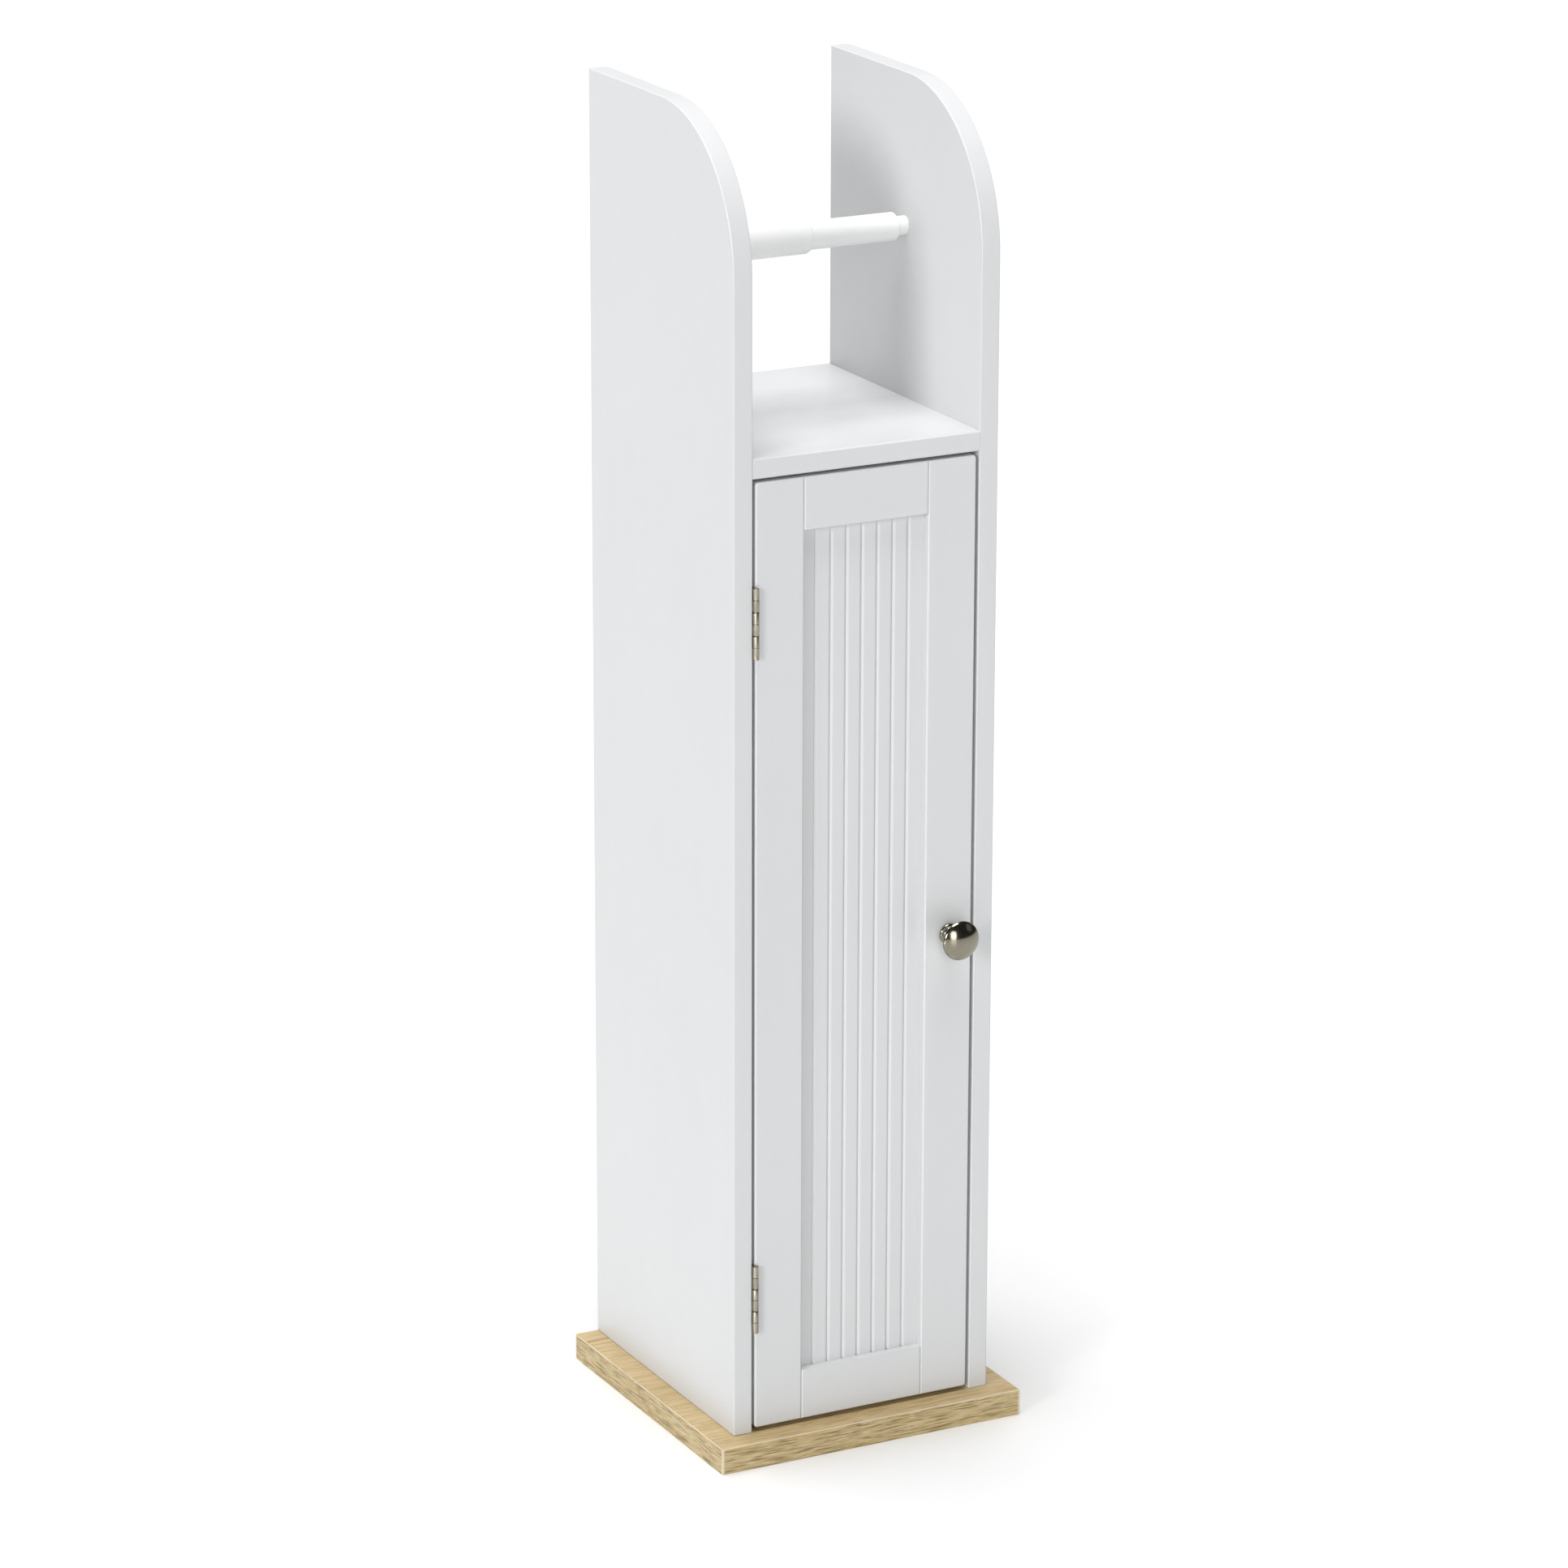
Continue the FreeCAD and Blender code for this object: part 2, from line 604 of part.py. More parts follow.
def shelf_dowels():
    """Two level dowels, one at the front of each end of the roll shelf."""
    body = add_body("shelf_dowels", z=SHELF_CORE)
    outline = Outline(body, "DowelOutline", "YZ_Plane", f"{INSIDE} + Sizes.dowel_in_panel")
    outline.many_sided([DOWEL_Y], ["0"], "Sizes.dowel_radius")
    dowel = pad(body, "Dowel", outline, "Sizes.dowel_length", backwards=True)
    mirrored(body, [dowel], "YZ_Plane")


def cam_bolts():
    """Two steel bolts from the side panels into the cams of the roll shelf."""
    body = add_body("cam_bolts", z=SHELF_CORE)
    rim = f"({CAM_X} + Sizes.cam_radius + Sizes.board_slack)"
    head = f"({CAM_X} - Sizes.cam_bolt_head_length / 2)"
    shank = Outline(body, "ShankOutline", "YZ_Plane", rim)
    shank.many_sided([CAM_Y], ["0"], "Sizes.cam_bolt_radius")
    neck = Outline(body, "NeckOutline", "YZ_Plane", head)
    neck.many_sided([CAM_Y], ["0"], "Sizes.cam_bolt_neck_radius")
    knob_end = Outline(body, "HeadOutline", "YZ_Plane", head)
    knob_end.many_sided([CAM_Y], ["0"], "Sizes.cam_bolt_radius")
    features = [
        pad(body, "Shank", shank, f"{INSIDE} + Sizes.cam_bolt_in_panel - {rim}"),
        pad(body, "Neck", neck, f"{rim} - {head}"),
        pad(body, "Head", knob_end, "Sizes.cam_bolt_head_length"),
    ]
    mirrored(body, features, "YZ_Plane")


def cam_locks():
    """Two round cams in the shelf's underside, each slotted for the head of its bolt."""
    body = add_body("cam_locks", y=CAM_Y, z=SHELF_UNDER)
    disc = Outline(body, "DiscOutlines", "XY_Plane")
    disc.many_sided(both_sides(CAM_X), ["0"], "Sizes.cam_radius")
    pad(body, "Discs", disc, "Sizes.cam_height")
    slot = Outline(body, "SlotOutline", "XY_Plane", f"Sizes.board_thickness / 2 + {CAM_BOLT_BORE}")
    slot_end = f"({CAM_X} - Sizes.cam_bolt_head_length / 2 - Sizes.screw_slack)"
    slot.rectangle(slot_end, INSIDE, f"-{CAM_BOLT_BORE}", CAM_BOLT_BORE)
    drive = Outline(body, "DriveOutline", "XY_Plane")
    half_length = "Sizes.cam_drive_length / 2"
    half_width = "Sizes.cam_drive_width / 2"
    drive.rectangle(f"{CAM_X} - {half_length}", f"{CAM_X} + {half_length}", f"-{half_width}", half_width)
    cuts = [
        pocket(body, "BoltSlot", slot, f"2 * {CAM_BOLT_BORE}"),
        pocket(body, "DriveSlot", drive, "Sizes.cam_drive_depth", backwards=True),
    ]
    mirrored(body, cuts, "YZ_Plane")


def back_panel():
    """Thin board behind the cupboard, in the grooves of the side panels and the roll shelf."""
    body = add_body("back_panel", y=BACK_FACE, z="Sizes.base_thickness")
    tongue = "(Sizes.back_groove_depth - Sizes.board_slack)"
    half = f"({INSIDE} + {tongue})"
    board = Outline(body, "BoardOutline", "XZ_Plane")
    board.rectangle(f"-{half}", half, "0", f"Sizes.cupboard_height + {tongue}")
    pad(body, "Board", board, "Sizes.back_thickness")


def inner_shelf():
    """Loose shelf that lies on four pins in the cupboard."""
    body = add_body("inner_shelf", z=f"{PIN_HEIGHT} + Sizes.pin_radius")
    half = f"({INSIDE} - Sizes.inner_shelf_end_gap)"
    board = Outline(body, "BoardOutline", "XY_Plane")
    board.rectangle(f"-{half}", half, INNER_SHELF_FRONT, INNER_SHELF_BACK)
    pad(body, "Board", board, "Sizes.board_thickness")
    front = value(INNER_SHELF_FRONT)
    chamfer(
        body, "FrontBevel",
        lambda box: box.YMax < front + NEAR and box.ZLength < NEAR,
        "Sizes.board_edge_bevel",
    )


def shelf_pins():
    """Four plain steel pins that carry the loose shelf."""
    body = add_body("shelf_pins", z=PIN_HEIGHT)
    outline = Outline(body, "PinOutlines", "YZ_Plane", f"{INSIDE} + Sizes.pin_in_panel")
    outline.many_sided(PIN_ROWS, ["0"], "Sizes.pin_radius")
    pins = pad(body, "Pins", outline, "Sizes.pin_in_panel + Sizes.pin_reach", backwards=True)
    mirrored(body, [pins], "YZ_Plane")


# Door: a jointed frame round a slatted panel

def door_stile(label, side):
    """Full-height side member of the door; side is -1 at the hinges, 1 at the knob."""
    body = add_body(label, x=f"{side} * {DOOR_SIDE}", y=FRONT, z=DOOR_BOTTOM)
    inner = f"({-side} * Sizes.door_frame_width)"
    groove = f"({-side} * (Sizes.door_frame_width - Sizes.slat_panel_tongue))"
    section = Outline(body, "Section", "XY_Plane")
    section.path(
        ("0", "0"),
        (inner, "0"),
        (inner, f"{TONGUE_FRONT} - Sizes.screw_slack"),
        (groove, f"{TONGUE_FRONT} - Sizes.screw_slack"),
        (groove, f"{TONGUE_BACK} + Sizes.screw_slack"),
        (inner, f"{TONGUE_BACK} + Sizes.screw_slack"),
        (inner, "Sizes.door_thickness"),
        ("0", "Sizes.door_thickness"),
    )
    pad(body, "Member", section, DOOR_HEIGHT)
    height = value(DOOR_HEIGHT)
    width = value("Sizes.door_frame_width")
    fillet(
        body, "CornerRounding",
        lambda box: box.XLength < NEAR and box.ZLength < NEAR and abs(box.XMin) < NEAR,
        "Sizes.door_corner_round",
    )
    chamfer(
        body, "JointBevel",
        lambda box: box.YMax < NEAR and box.ZLength > height - NEAR and abs(box.Center.x) > width - NEAR,
        "Sizes.door_joint_chamfer",
    )
    chamfer(
        body, "FrontBevel",
        lambda box: box.YMax < NEAR and not (box.XLength < NEAR and abs(box.XMin) > width / 2),
        "Sizes.door_edge_bevel",
    )
    if side < 0:
        hinge_stile_cuts(body)
    else:
        knob = Outline(body, "KnobScrewBore", "XZ_Plane", "-Sizes.door_thickness")
        knob.many_sided(
            ["-Sizes.door_frame_width / 2"], [f"Sizes.knob_height - {DOOR_BOTTOM}"], KNOB_SCREW_BORE
        )
        pocket(body, "KnobScrewHole", knob, "Sizes.door_thickness", backwards=True)


def hinge_stile_cuts(body):
    """Cut the screw holes and the round-bottomed notches for the hinge barrels."""
    screws = Outline(body, "HingeScrewBores", "YZ_Plane")
    radius = "Sizes.leaf_screw_radius + Sizes.screw_slack"
    screws.many_sided([f"{HINGE_SCREW_Y} - {FRONT}"], hinge_screw_heights(DOOR_BOTTOM), radius)
    pocket(body, "HingeScrewHoles", screws, "Sizes.leaf_screw_length + Sizes.board_slack", backwards=True)
    length = f"({HINGE_LENGTH} + 2 * Sizes.barrel_notch_margin)"
    for name, middle in zip(("Lower", "Upper"), hinge_heights(DOOR_BOTTOM)):
        notch = Outline(body, f"{name}NotchCircle", "XY_Plane", f"{middle} + {length} / 2")
        notch.circle("-Sizes.hinge_axis_inset", "-Sizes.hinge_axis_proud", "Sizes.barrel_notch_radius")
        pocket(body, f"{name}BarrelNotch", notch, length)


def door_rail(label, is_top):
    """Cross member of the door, with a stub tenon at each end and a groove for the panel."""
    turn = -1 if is_top else 1
    base = f"({DOOR_BOTTOM} + {DOOR_HEIGHT})" if is_top else DOOR_BOTTOM
    body = add_body(label, y=FRONT, z=base)
    inner = f"({turn} * Sizes.door_frame_width)"
    groove = f"({turn} * (Sizes.door_frame_width - Sizes.slat_panel_tongue))"
    section = Outline(body, "Section", "YZ_Plane", f"-{FIELD_HALF}")
    section.path(
        ("0", "0"),
        ("0", inner),
        (f"{TONGUE_FRONT} - Sizes.screw_slack", inner),
        (f"{TONGUE_FRONT} - Sizes.screw_slack", groove),
        (f"{TONGUE_BACK} + Sizes.screw_slack", groove),
        (f"{TONGUE_BACK} + Sizes.screw_slack", inner),
        ("Sizes.door_thickness", inner),
        ("Sizes.door_thickness", "0"),
    )
    pad(body, "Member", section, f"2 * {FIELD_HALF}")
    half = value(FIELD_HALF)
    chamfer(
        body, "JointBevel",
        lambda box: box.YMax < NEAR and box.XLength < NEAR and abs(box.XMin) > half - NEAR,
        "Sizes.door_joint_chamfer",
    )
    chamfer(
        body, "FrontBevel",
        lambda box: box.YMax < NEAR and box.ZLength < NEAR and abs(box.ZMin) < NEAR,
        "Sizes.door_edge_bevel",
    )
    tenon_half = f"({FIELD_HALF} + {TONGUE_DEPTH})"
    tenon_low = f"({turn} * Sizes.door_joint_chamfer)"
    tenon = Outline(body, "TenonOutline", "YZ_Plane", f"-{tenon_half}")
    tenon.rectangle(TONGUE_FRONT, TONGUE_BACK, tenon_low, groove)
    pad(body, "Tenons", tenon, f"2 * {tenon_half}")
    if is_top:
        strike = Outline(body, "StrikeScrewBore", "XZ_Plane", "-Sizes.door_thickness")
        radius = "Sizes.small_screw_radius + Sizes.screw_slack"
        strike.many_sided(["Sizes.catch_offset"], [f"{CATCH_CORE} - {base}"], radius)
        pocket(body, "StrikeScrewHole", strike, STRIKE_SCREW_DEPTH, backwards=True)


def door_slat_panel():
    """Thin panel with upright grooves that make it look like narrow slats."""
    low = f"{DOOR_BOTTOM} + Sizes.door_frame_width"
    body = add_body("door_slat_panel", y=f"{FRONT} + {TONGUE_FRONT}", z=low)
    half = f"({FIELD_HALF} + {TONGUE_DEPTH})"
    board = Outline(body, "BoardOutline", "XZ_Plane")
    board.rectangle(f"-{half}", half, f"-{TONGUE_DEPTH}", f"{FIELD_HEIGHT} + {TONGUE_DEPTH}")
    pad(body, "Board", board, "Sizes.slat_panel_thickness", backwards=True)
    pitch = f"(2 * {FIELD_HALF} / Sizes.slat_count)"
    first = f"({pitch} - {FIELD_HALF})"
    top = f"({FIELD_HEIGHT} + {TONGUE_DEPTH})"
    groove = Outline(body, "GrooveOutline", "XY_Plane", top)
    groove.path(
        (f"{first} - Sizes.slat_groove_width / 2", "0"),
        (f"{first} + Sizes.slat_groove_width / 2", "0"),
        (first, "Sizes.slat_groove_depth"),
    )
    cut = pocket(body, "Groove", groove)
    length = f"{pitch} * (Sizes.slat_count - 2)"
    row_of(body, "Grooves", [cut], "X_Axis", "Sizes.slat_count - 1", length)


# Butt hinges

def hinge_heights(datum):
    """Return the middle heights of the lower and the upper hinge above a datum."""
    return [f"({height})" for height in around(f"{DOOR_CORE} - {datum}", HINGE_SPREAD)]


def hinge_screw_heights(datum):
    """Return the heights of all screws of one side's leaves above a datum."""
    spacing = "Sizes.leaf_screw_spacing"
    return [place for middle in hinge_heights(datum) for place in around(middle, spacing)]


def hinge_leaf(label, bottom, on_door):
    """Flat leaf with three rolled knuckles; the two leaves' knuckles take turns up the pin."""
    body = add_body(label, x=HINGE_AXIS_X, y=HINGE_AXIS_Y, z=bottom)
    if on_door:
        back = "Sizes.hinge_axis_inset"
        first = "(Sizes.knuckle_pitch + Sizes.knuckle_gap / 2)"
    else:
        back = "(Sizes.hinge_axis_inset - Sizes.door_gap)"
        first = "(Sizes.knuckle_gap / 2)"
    height = "(Sizes.knuckle_pitch - Sizes.knuckle_gap)"
    start = "(Sizes.knuckle_radius + Sizes.leaf_swing_gap)"
    plate = Outline(body, "PlateOutline", "YZ_Plane", back)
    plate.rectangle(start, "Sizes.leaf_reach", "0", HINGE_LENGTH)
    pad(body, "Plate", plate, "Sizes.leaf_thickness", backwards=on_door)
    reach = value("Sizes.leaf_reach")
    chamfer(
        body, "PlateCorners",
        lambda box: box.YMin > reach - NEAR and box.ZLength < NEAR,
        "Sizes.leaf_corner_bevel",
    )
    tab = Outline(body, "TabOutline", "YZ_Plane", back).rectangle("0", start, first, f"{first} + {height}")
    tab_pad = pad(body, "Tab", tab, "Sizes.leaf_thickness", backwards=on_door)
    barrel = Outline(body, "KnuckleCircle", "XY_Plane", first).circle("0", "0", "Sizes.knuckle_radius")
    knuckle = pad(body, "Knuckle", barrel, height)
    length = "Sizes.knuckle_pitch * (Sizes.knuckle_count - 2)"
    row_of(body, "Knuckles", [tab_pad, knuckle], "Z_Axis", "Sizes.knuckle_count / 2", length)
    pin = Outline(body, "PinCircle", "XY_Plane", HINGE_LENGTH)
    pin.circle("0", "0", "Sizes.hinge_pin_radius + Sizes.hinge_pin_slack")
    pocket(body, "PinHole", pin)
    screws = Outline(body, "ScrewBores", "YZ_Plane", back)
    rows = around(f"{HINGE_LENGTH} / 2", "Sizes.leaf_screw_spacing")
    screws.many_sided(["Sizes.leaf_screw_setback"], rows, "Sizes.leaf_screw_radius + Sizes.screw_slack")
    pocket(body, "Countersinks", screws, "Sizes.leaf_thickness", backwards=not on_door, slope=HEAD_SLOPE)


def hinge_pin(label, bottom):
    """Round pin through all knuckles of one hinge."""
    body = add_body(label, x=HINGE_AXIS_X, y=HINGE_AXIS_Y, z=bottom)
    circle = Outline(body, "PinCircle", "XY_Plane").circle("0", "0", "Sizes.hinge_pin_radius")
    pad(body, "Pin", circle, HINGE_LENGTH)


def hinge_screws(label, seat, into_door):
    """Four countersunk screws of one side's leaves, from the board's face that the leaves lie on."""
    body = add_body(label, x=seat)
    outline = Outline(body, "ScrewOutlines", "YZ_Plane")
    outline.many_sided([HINGE_SCREW_Y], hinge_screw_heights("0"), "Sizes.leaf_screw_radius")
    pad(body, "Shanks", outline, "Sizes.leaf_screw_length", backwards=not into_door)
    pad(body, "Heads", outline, "Sizes.leaf_thickness", backwards=into_door, slope=HEAD_SLOPE)


def hinges():
    """Both butt hinges with their pins and screws."""
    for place, middle in zip(("lower", "upper"), hinge_heights("0")):
        bottom = f"{middle} - {HINGE_LENGTH} / 2"
        hinge_leaf(f"hinge_leaf_cabinet_{place}", bottom, on_door=False)
        hinge_leaf(f"hinge_leaf_door_{place}", bottom, on_door=True)
        hinge_pin(f"hinge_pin_{place}", bottom)
    hinge_screws("hinge_screws_cabinet", f"-{INSIDE}", into_door=False)
    hinge_screws("hinge_screws_door", f"-{DOOR_SIDE}", into_door=True)


# Knob

def pan_screw(body, plane, columns, radius, length, head_radius, head_height):
    """Add flat-headed screws whose heads lie against a plane of the body, shanks along its normal."""
    shanks = Outline(body, "ShankOutlines", plane).many_sided(columns, ["0"], radius)
    pad(body, "Shanks", shanks, length)
    heads = Outline(body, "HeadOutlines", plane).many_sided(columns, ["0"], head_radius)
    pad(body, "Heads", heads, head_height, backwards=True)


def knob():
    """Turned knob: two beads at the foot, a short neck, and a wide head with a domed front."""
    body = add_body("knob", x=KNOB_X, y=FRONT, z="Sizes.knob_height")
    foot = "Sizes.knob_foot_height"
    ring = f"({foot} + Sizes.knob_ring_height)"
    bevel = "Sizes.knob_bead_bevel"
    neck = f"({ring} + Sizes.knob_neck_length)"
    rim = "(Sizes.knob_length - Sizes.knob_dome_rise)"
    flare_rise = f"({rim} - Sizes.knob_rim_width - {neck})"
    flare_reach = "(Sizes.knob_head_radius - Sizes.knob_neck_radius)"
    dome = "((Sizes.knob_head_radius ^ 2 + Sizes.knob_dome_rise ^ 2) / (2 * Sizes.knob_dome_rise))"
    flare = f"(({flare_reach} ^ 2 + {flare_rise} ^ 2) / (2 * {flare_reach}))"
    half = Outline(body, "KnobProfile", "XZ_Plane")
    half.path(
        ("0", "0"),
        ("Sizes.knob_foot_radius", "0"),
        ("Sizes.knob_foot_radius", f"{foot} - {bevel}"),
        (f"Sizes.knob_foot_radius - {bevel}", foot),
        (f"Sizes.knob_ring_radius - {bevel}", foot),
        ("Sizes.knob_ring_radius", f"{foot} + {bevel}"),
        ("Sizes.knob_ring_radius", f"{ring} - {bevel}"),
        (f"Sizes.knob_ring_radius - {bevel}", ring),
        ("Sizes.knob_neck_radius", ring),
        ("Sizes.knob_neck_radius", neck, flare, CLOCKWISE),
        ("Sizes.knob_head_radius", f"{rim} - Sizes.knob_rim_width"),
        ("Sizes.knob_head_radius", rim, dome, ANTICLOCKWISE),
        ("0", "Sizes.knob_length"),
    )
    turned(body, "Knob", half, "V_Axis")
    bore = Outline(body, "BoreOutline", "XY_Plane").many_sided(["0"], ["0"], KNOB_SCREW_BORE)
    pocket(body, "Bore", bore, "Sizes.knob_screw_depth + Sizes.board_slack", backwards=True)
    body.Placement.Rotation = FreeCAD.Rotation(FreeCAD.Vector(1, 0, 0), 90)


def knob_screw():
    """Machine screw from behind the stile into the knob."""
    body = add_body("knob_screw", x=KNOB_X, y=DOOR_BACK, z="Sizes.knob_height")
    pan_screw(
        body,
        "XZ_Plane",
        ["0"],
        "Sizes.knob_screw_radius",
        "Sizes.door_thickness + Sizes.knob_screw_depth",
        "Sizes.knob_screw_head_radius",
        "Sizes.knob_screw_head_height",
    )


# Magnetic catch

def catch_housing():
    """Moulded block with two screw ears, hung under the roll shelf."""
    body = add_body("catch_housing", x="Sizes.catch_offset", y=CATCH_FACE, z=SHELF_UNDER)
    ears = Outline(body, "EarOutline", "XY_Plane")
    ears.rectangle("-Sizes.catch_width / 2", "Sizes.catch_width / 2", "0", "Sizes.catch_depth")
    pad(body, "Ears", ears, "Sizes.catch_ear_thickness", backwards=True)
    block = Outline(body, "BlockOutline", "XY_Plane")
    block.rectangle("-Sizes.catch_block_width / 2", "Sizes.catch_block_width / 2", "0", "Sizes.catch_depth")
    pad(body, "Block", block, "Sizes.catch_height", backwards=True)
    bottom = -value("Sizes.catch_height")
    chamfer(body, "BlockBevel", lambda box: box.ZMax < bottom + NEAR, "Sizes.catch_edge_bevel")
    mouth = Outline(body, "MouthOutline", "XZ_Plane")
    half_width = "(Sizes.magnet_width / 2 + Sizes.board_slack)"
    middle = "(-Sizes.catch_height / 2)"
    half_height = f"({CATCH_STACK} + Sizes.board_slack)"
    mouth.rectangle(f"-{half_width}", half_width, f"{middle} - {half_height}", f"{middle} + {half_height}")
    pocket(body, "Mouth", mouth, "Sizes.magnet_depth")
    screws = Outline(body, "ScrewBores", "XY_Plane")
    radius = "Sizes.small_screw_radius + Sizes.screw_slack"
    screws.many_sided(both_sides(CATCH_SCREW_OFFSET), ["Sizes.catch_depth / 2"], radius)
    pocket(body, "ScrewHoles", screws)


def catch_magnet():
    """Flat magnet block inside the catch."""
    body = add_body("catch_magnet", x="Sizes.catch_offset", y=CATCH_FACE, z=CATCH_CORE)
    half_width = "Sizes.magnet_width / 2"
    half_height = "Sizes.magnet_height / 2"
    block = Outline(body, "BlockOutline", "XZ_Plane")
    block.rectangle(f"-{half_width}", half_width, f"-{half_height}", half_height)
    pad(body, "Block", block, "Sizes.magnet_depth", backwards=True)


def catch_pole_plates():
    """Two steel plates, above and below the magnet, that stand a little proud of the housing."""
    body = add_body("catch_pole_plates", x="Sizes.catch_offset", y=CATCH_FACE, z=CATCH_CORE)
    plate = Outline(body, "PlateOutline", "XZ_Plane", "Sizes.pole_plate_proud")
    half_width = "Sizes.magnet_width / 2"
    plate.rectangle(f"-{half_width}", half_width, "Sizes.magnet_height / 2", CATCH_STACK)
    solid = pad(body, "Plate", plate, "Sizes.magnet_depth + Sizes.pole_plate_proud", backwards=True)
    mirrored(body, [solid], "XY_Plane")


def catch_screws():
    """Two flat-headed screws through the ears of the catch, up into the roll shelf."""
    low = f"{SHELF_UNDER} - Sizes.catch_ear_thickness"
    body = add_body("catch_screws", y=CATCH_SCREW_ROW, z=low)
    pan_screw(
        body,
        "XY_Plane",
        CATCH_SCREW_COLUMNS,
        "Sizes.small_screw_radius",
        "Sizes.small_screw_length",
        "Sizes.small_screw_head_radius",
        "Sizes.small_screw_head_height",
    )


def strike_plate():
    """Steel plate on the back of the top rail that meets the catch."""
    body = add_body("strike_plate", x="Sizes.catch_offset", y=DOOR_BACK, z=CATCH_CORE)
    half_width = "Sizes.strike_width / 2"
    half_height = "Sizes.strike_height / 2"
    plate = Outline(body, "PlateOutline", "XZ_Plane")
    plate.rectangle(f"-{half_width}", half_width, f"-{half_height}", half_height)
    pad(body, "Plate", plate, "Sizes.strike_thickness", backwards=True)
    chamfer(
        body, "Corners",
        lambda box: box.XLength < NEAR and box.ZLength < NEAR,
        "Sizes.catch_edge_bevel",
    )
    screw = Outline(body, "ScrewBore", "XZ_Plane")
    screw.many_sided(["0"], ["0"], "Sizes.small_screw_radius + Sizes.screw_slack")
    pocket(body, "Countersink", screw, "Sizes.strike_thickness", slope=HEAD_SLOPE)


def strike_screw():
    """Countersunk screw that holds the strike plate, flush with its face."""
    body = add_body("strike_screw", x="Sizes.catch_offset", y=DOOR_BACK, z=CATCH_CORE)
    outline = Outline(body, "ScrewOutline", "XZ_Plane").many_sided(["0"], ["0"], "Sizes.small_screw_radius")
    pad(body, "Shank", outline, "Sizes.small_screw_length - Sizes.strike_thickness")
    pad(body, "Head", outline, "Sizes.strike_thickness", backwards=True, slope=HEAD_SLOPE)


# Telescoping roller

def roller_body(label):
    """Return an empty body on the roller's axis."""
    return add_body(label, y=MIDDLE, z=ROLLER_HEIGHT)


def roller_sleeve():
    """Wider half of the roller: closed at the left, where its nub sits in the panel's socket."""
    body = roller_body("roller_sleeve")
    nub_end = f"(-{INSIDE} - Sizes.nub_reach)"
    nub_corner = "(Sizes.nub_radius - Sizes.nub_bevel)"
    half = Outline(body, "SleeveProfile", "XY_Plane")
    half.path(
        (nub_end, "0"),
        (f"{SLEEVE_START} + Sizes.sleeve_wall", "0"),
        (f"{SLEEVE_START} + Sizes.sleeve_wall", SLEEVE_BORE),
        (SLEEVE_END, SLEEVE_BORE),
        (SLEEVE_END, "Sizes.sleeve_radius - Sizes.sleeve_lip_drop"),
        (f"{SLEEVE_END} - Sizes.sleeve_lip_length", "Sizes.sleeve_radius"),
        (SLEEVE_START, "Sizes.sleeve_radius"),
        (SLEEVE_START, "Sizes.nub_radius"),
        (f"{nub_end} + Sizes.nub_bevel", "Sizes.nub_radius"),
        (nub_end, nub_corner),
    )
    turned(body, "Sleeve", half, "H_Axis")


def roller_tube():
    """Narrower half of the roller: slides in the sleeve and ends in a coved shoulder and a nub."""
    body = roller_body("roller_tube")
    nub_corner = "(Sizes.nub_radius - Sizes.nub_bevel)"
    half = Outline(body, "TubeProfile", "XY_Plane")
    half.path(
        (TUBE_START, TUBE_BORE),
        (f"{TUBE_SHOULDER} - Sizes.tube_wall", TUBE_BORE),
        (f"{TUBE_SHOULDER} - Sizes.tube_wall", "0"),
        (NUB_END, "0"),
        (NUB_END, nub_corner),
        (f"{NUB_END} - Sizes.nub_bevel", "Sizes.nub_radius"),
        (f"{TUBE_SHOULDER} + {NUB_STEP}", "Sizes.nub_radius", NUB_STEP, CLOCKWISE),
        (TUBE_SHOULDER, TUBE_RADIUS),
        (TUBE_START, TUBE_RADIUS),
    )
    turned(body, "Tube", half, "H_Axis")


def roller_spring():
    """Outer form of the long light spring inside the roller, which pushes the two halves apart."""
    body = roller_body("roller_spring")
    ring = Outline(body, "CoilOutlines", "YZ_Plane", SPRING_START)
    for radius in ("Sizes.spring_radius", "Sizes.spring_radius - Sizes.spring_wire"):
        ring.many_sided(["0"], ["0"], radius)
    pad(body, "Coil", ring, f"{SPRING_END} - {SPRING_START}")


def build_model():
    """Make every piece of the cabinet."""
    base_board()
    edge_bands()
    base_screws()
    side_panel("side_panel_left", -1)
    side_panel("side_panel_right", 1)
    roll_shelf()
    shelf_dowels()
    cam_bolts()
    cam_locks()
    back_panel()
    inner_shelf()
    shelf_pins()
    door_stile("door_stile_left", -1)
    door_stile("door_stile_right", 1)
    door_rail("door_rail_top", is_top=True)
    door_rail("door_rail_bottom", is_top=False)
    door_slat_panel()
    hinges()
    knob()
    knob_screw()
    catch_housing()
    catch_magnet()
    catch_pole_plates()
    catch_screws()
    strike_plate()
    strike_screw()
    roller_sleeve()
    roller_tube()
    roller_spring()
    DOC.recompute()


def pieces():
    """Return the document objects that are pieces of the cabinet."""
    return [item for item in DOC.Objects if item.TypeId == "PartDesign::Body"]


def check_model():
    """Stop if any object failed or any piece has no sound solid."""
    for item in DOC.Objects:
        if "Invalid" in item.State or "Error" in item.State:
            raise ValueError(f"{item.Name} failed: {item.State}")
    for piece in pieces():
        if piece.Shape.isNull() or not piece.Shape.isValid() or not piece.Shape.Solids:
            raise ValueError(f"{piece.Label} has no sound solid")


def export_pieces():
    """Write one STEP file for each piece."""
    os.makedirs("parts", exist_ok=True)
    for piece in pieces():
        piece.Shape.exportStep(os.path.join("parts", f"{piece.Label}.step"))
        print(f"{piece.Label}: {len(piece.Shape.Solids)} solid(s), {piece.Shape.Volume:.1f} mm3")


build_model()
check_model()
export_pieces()
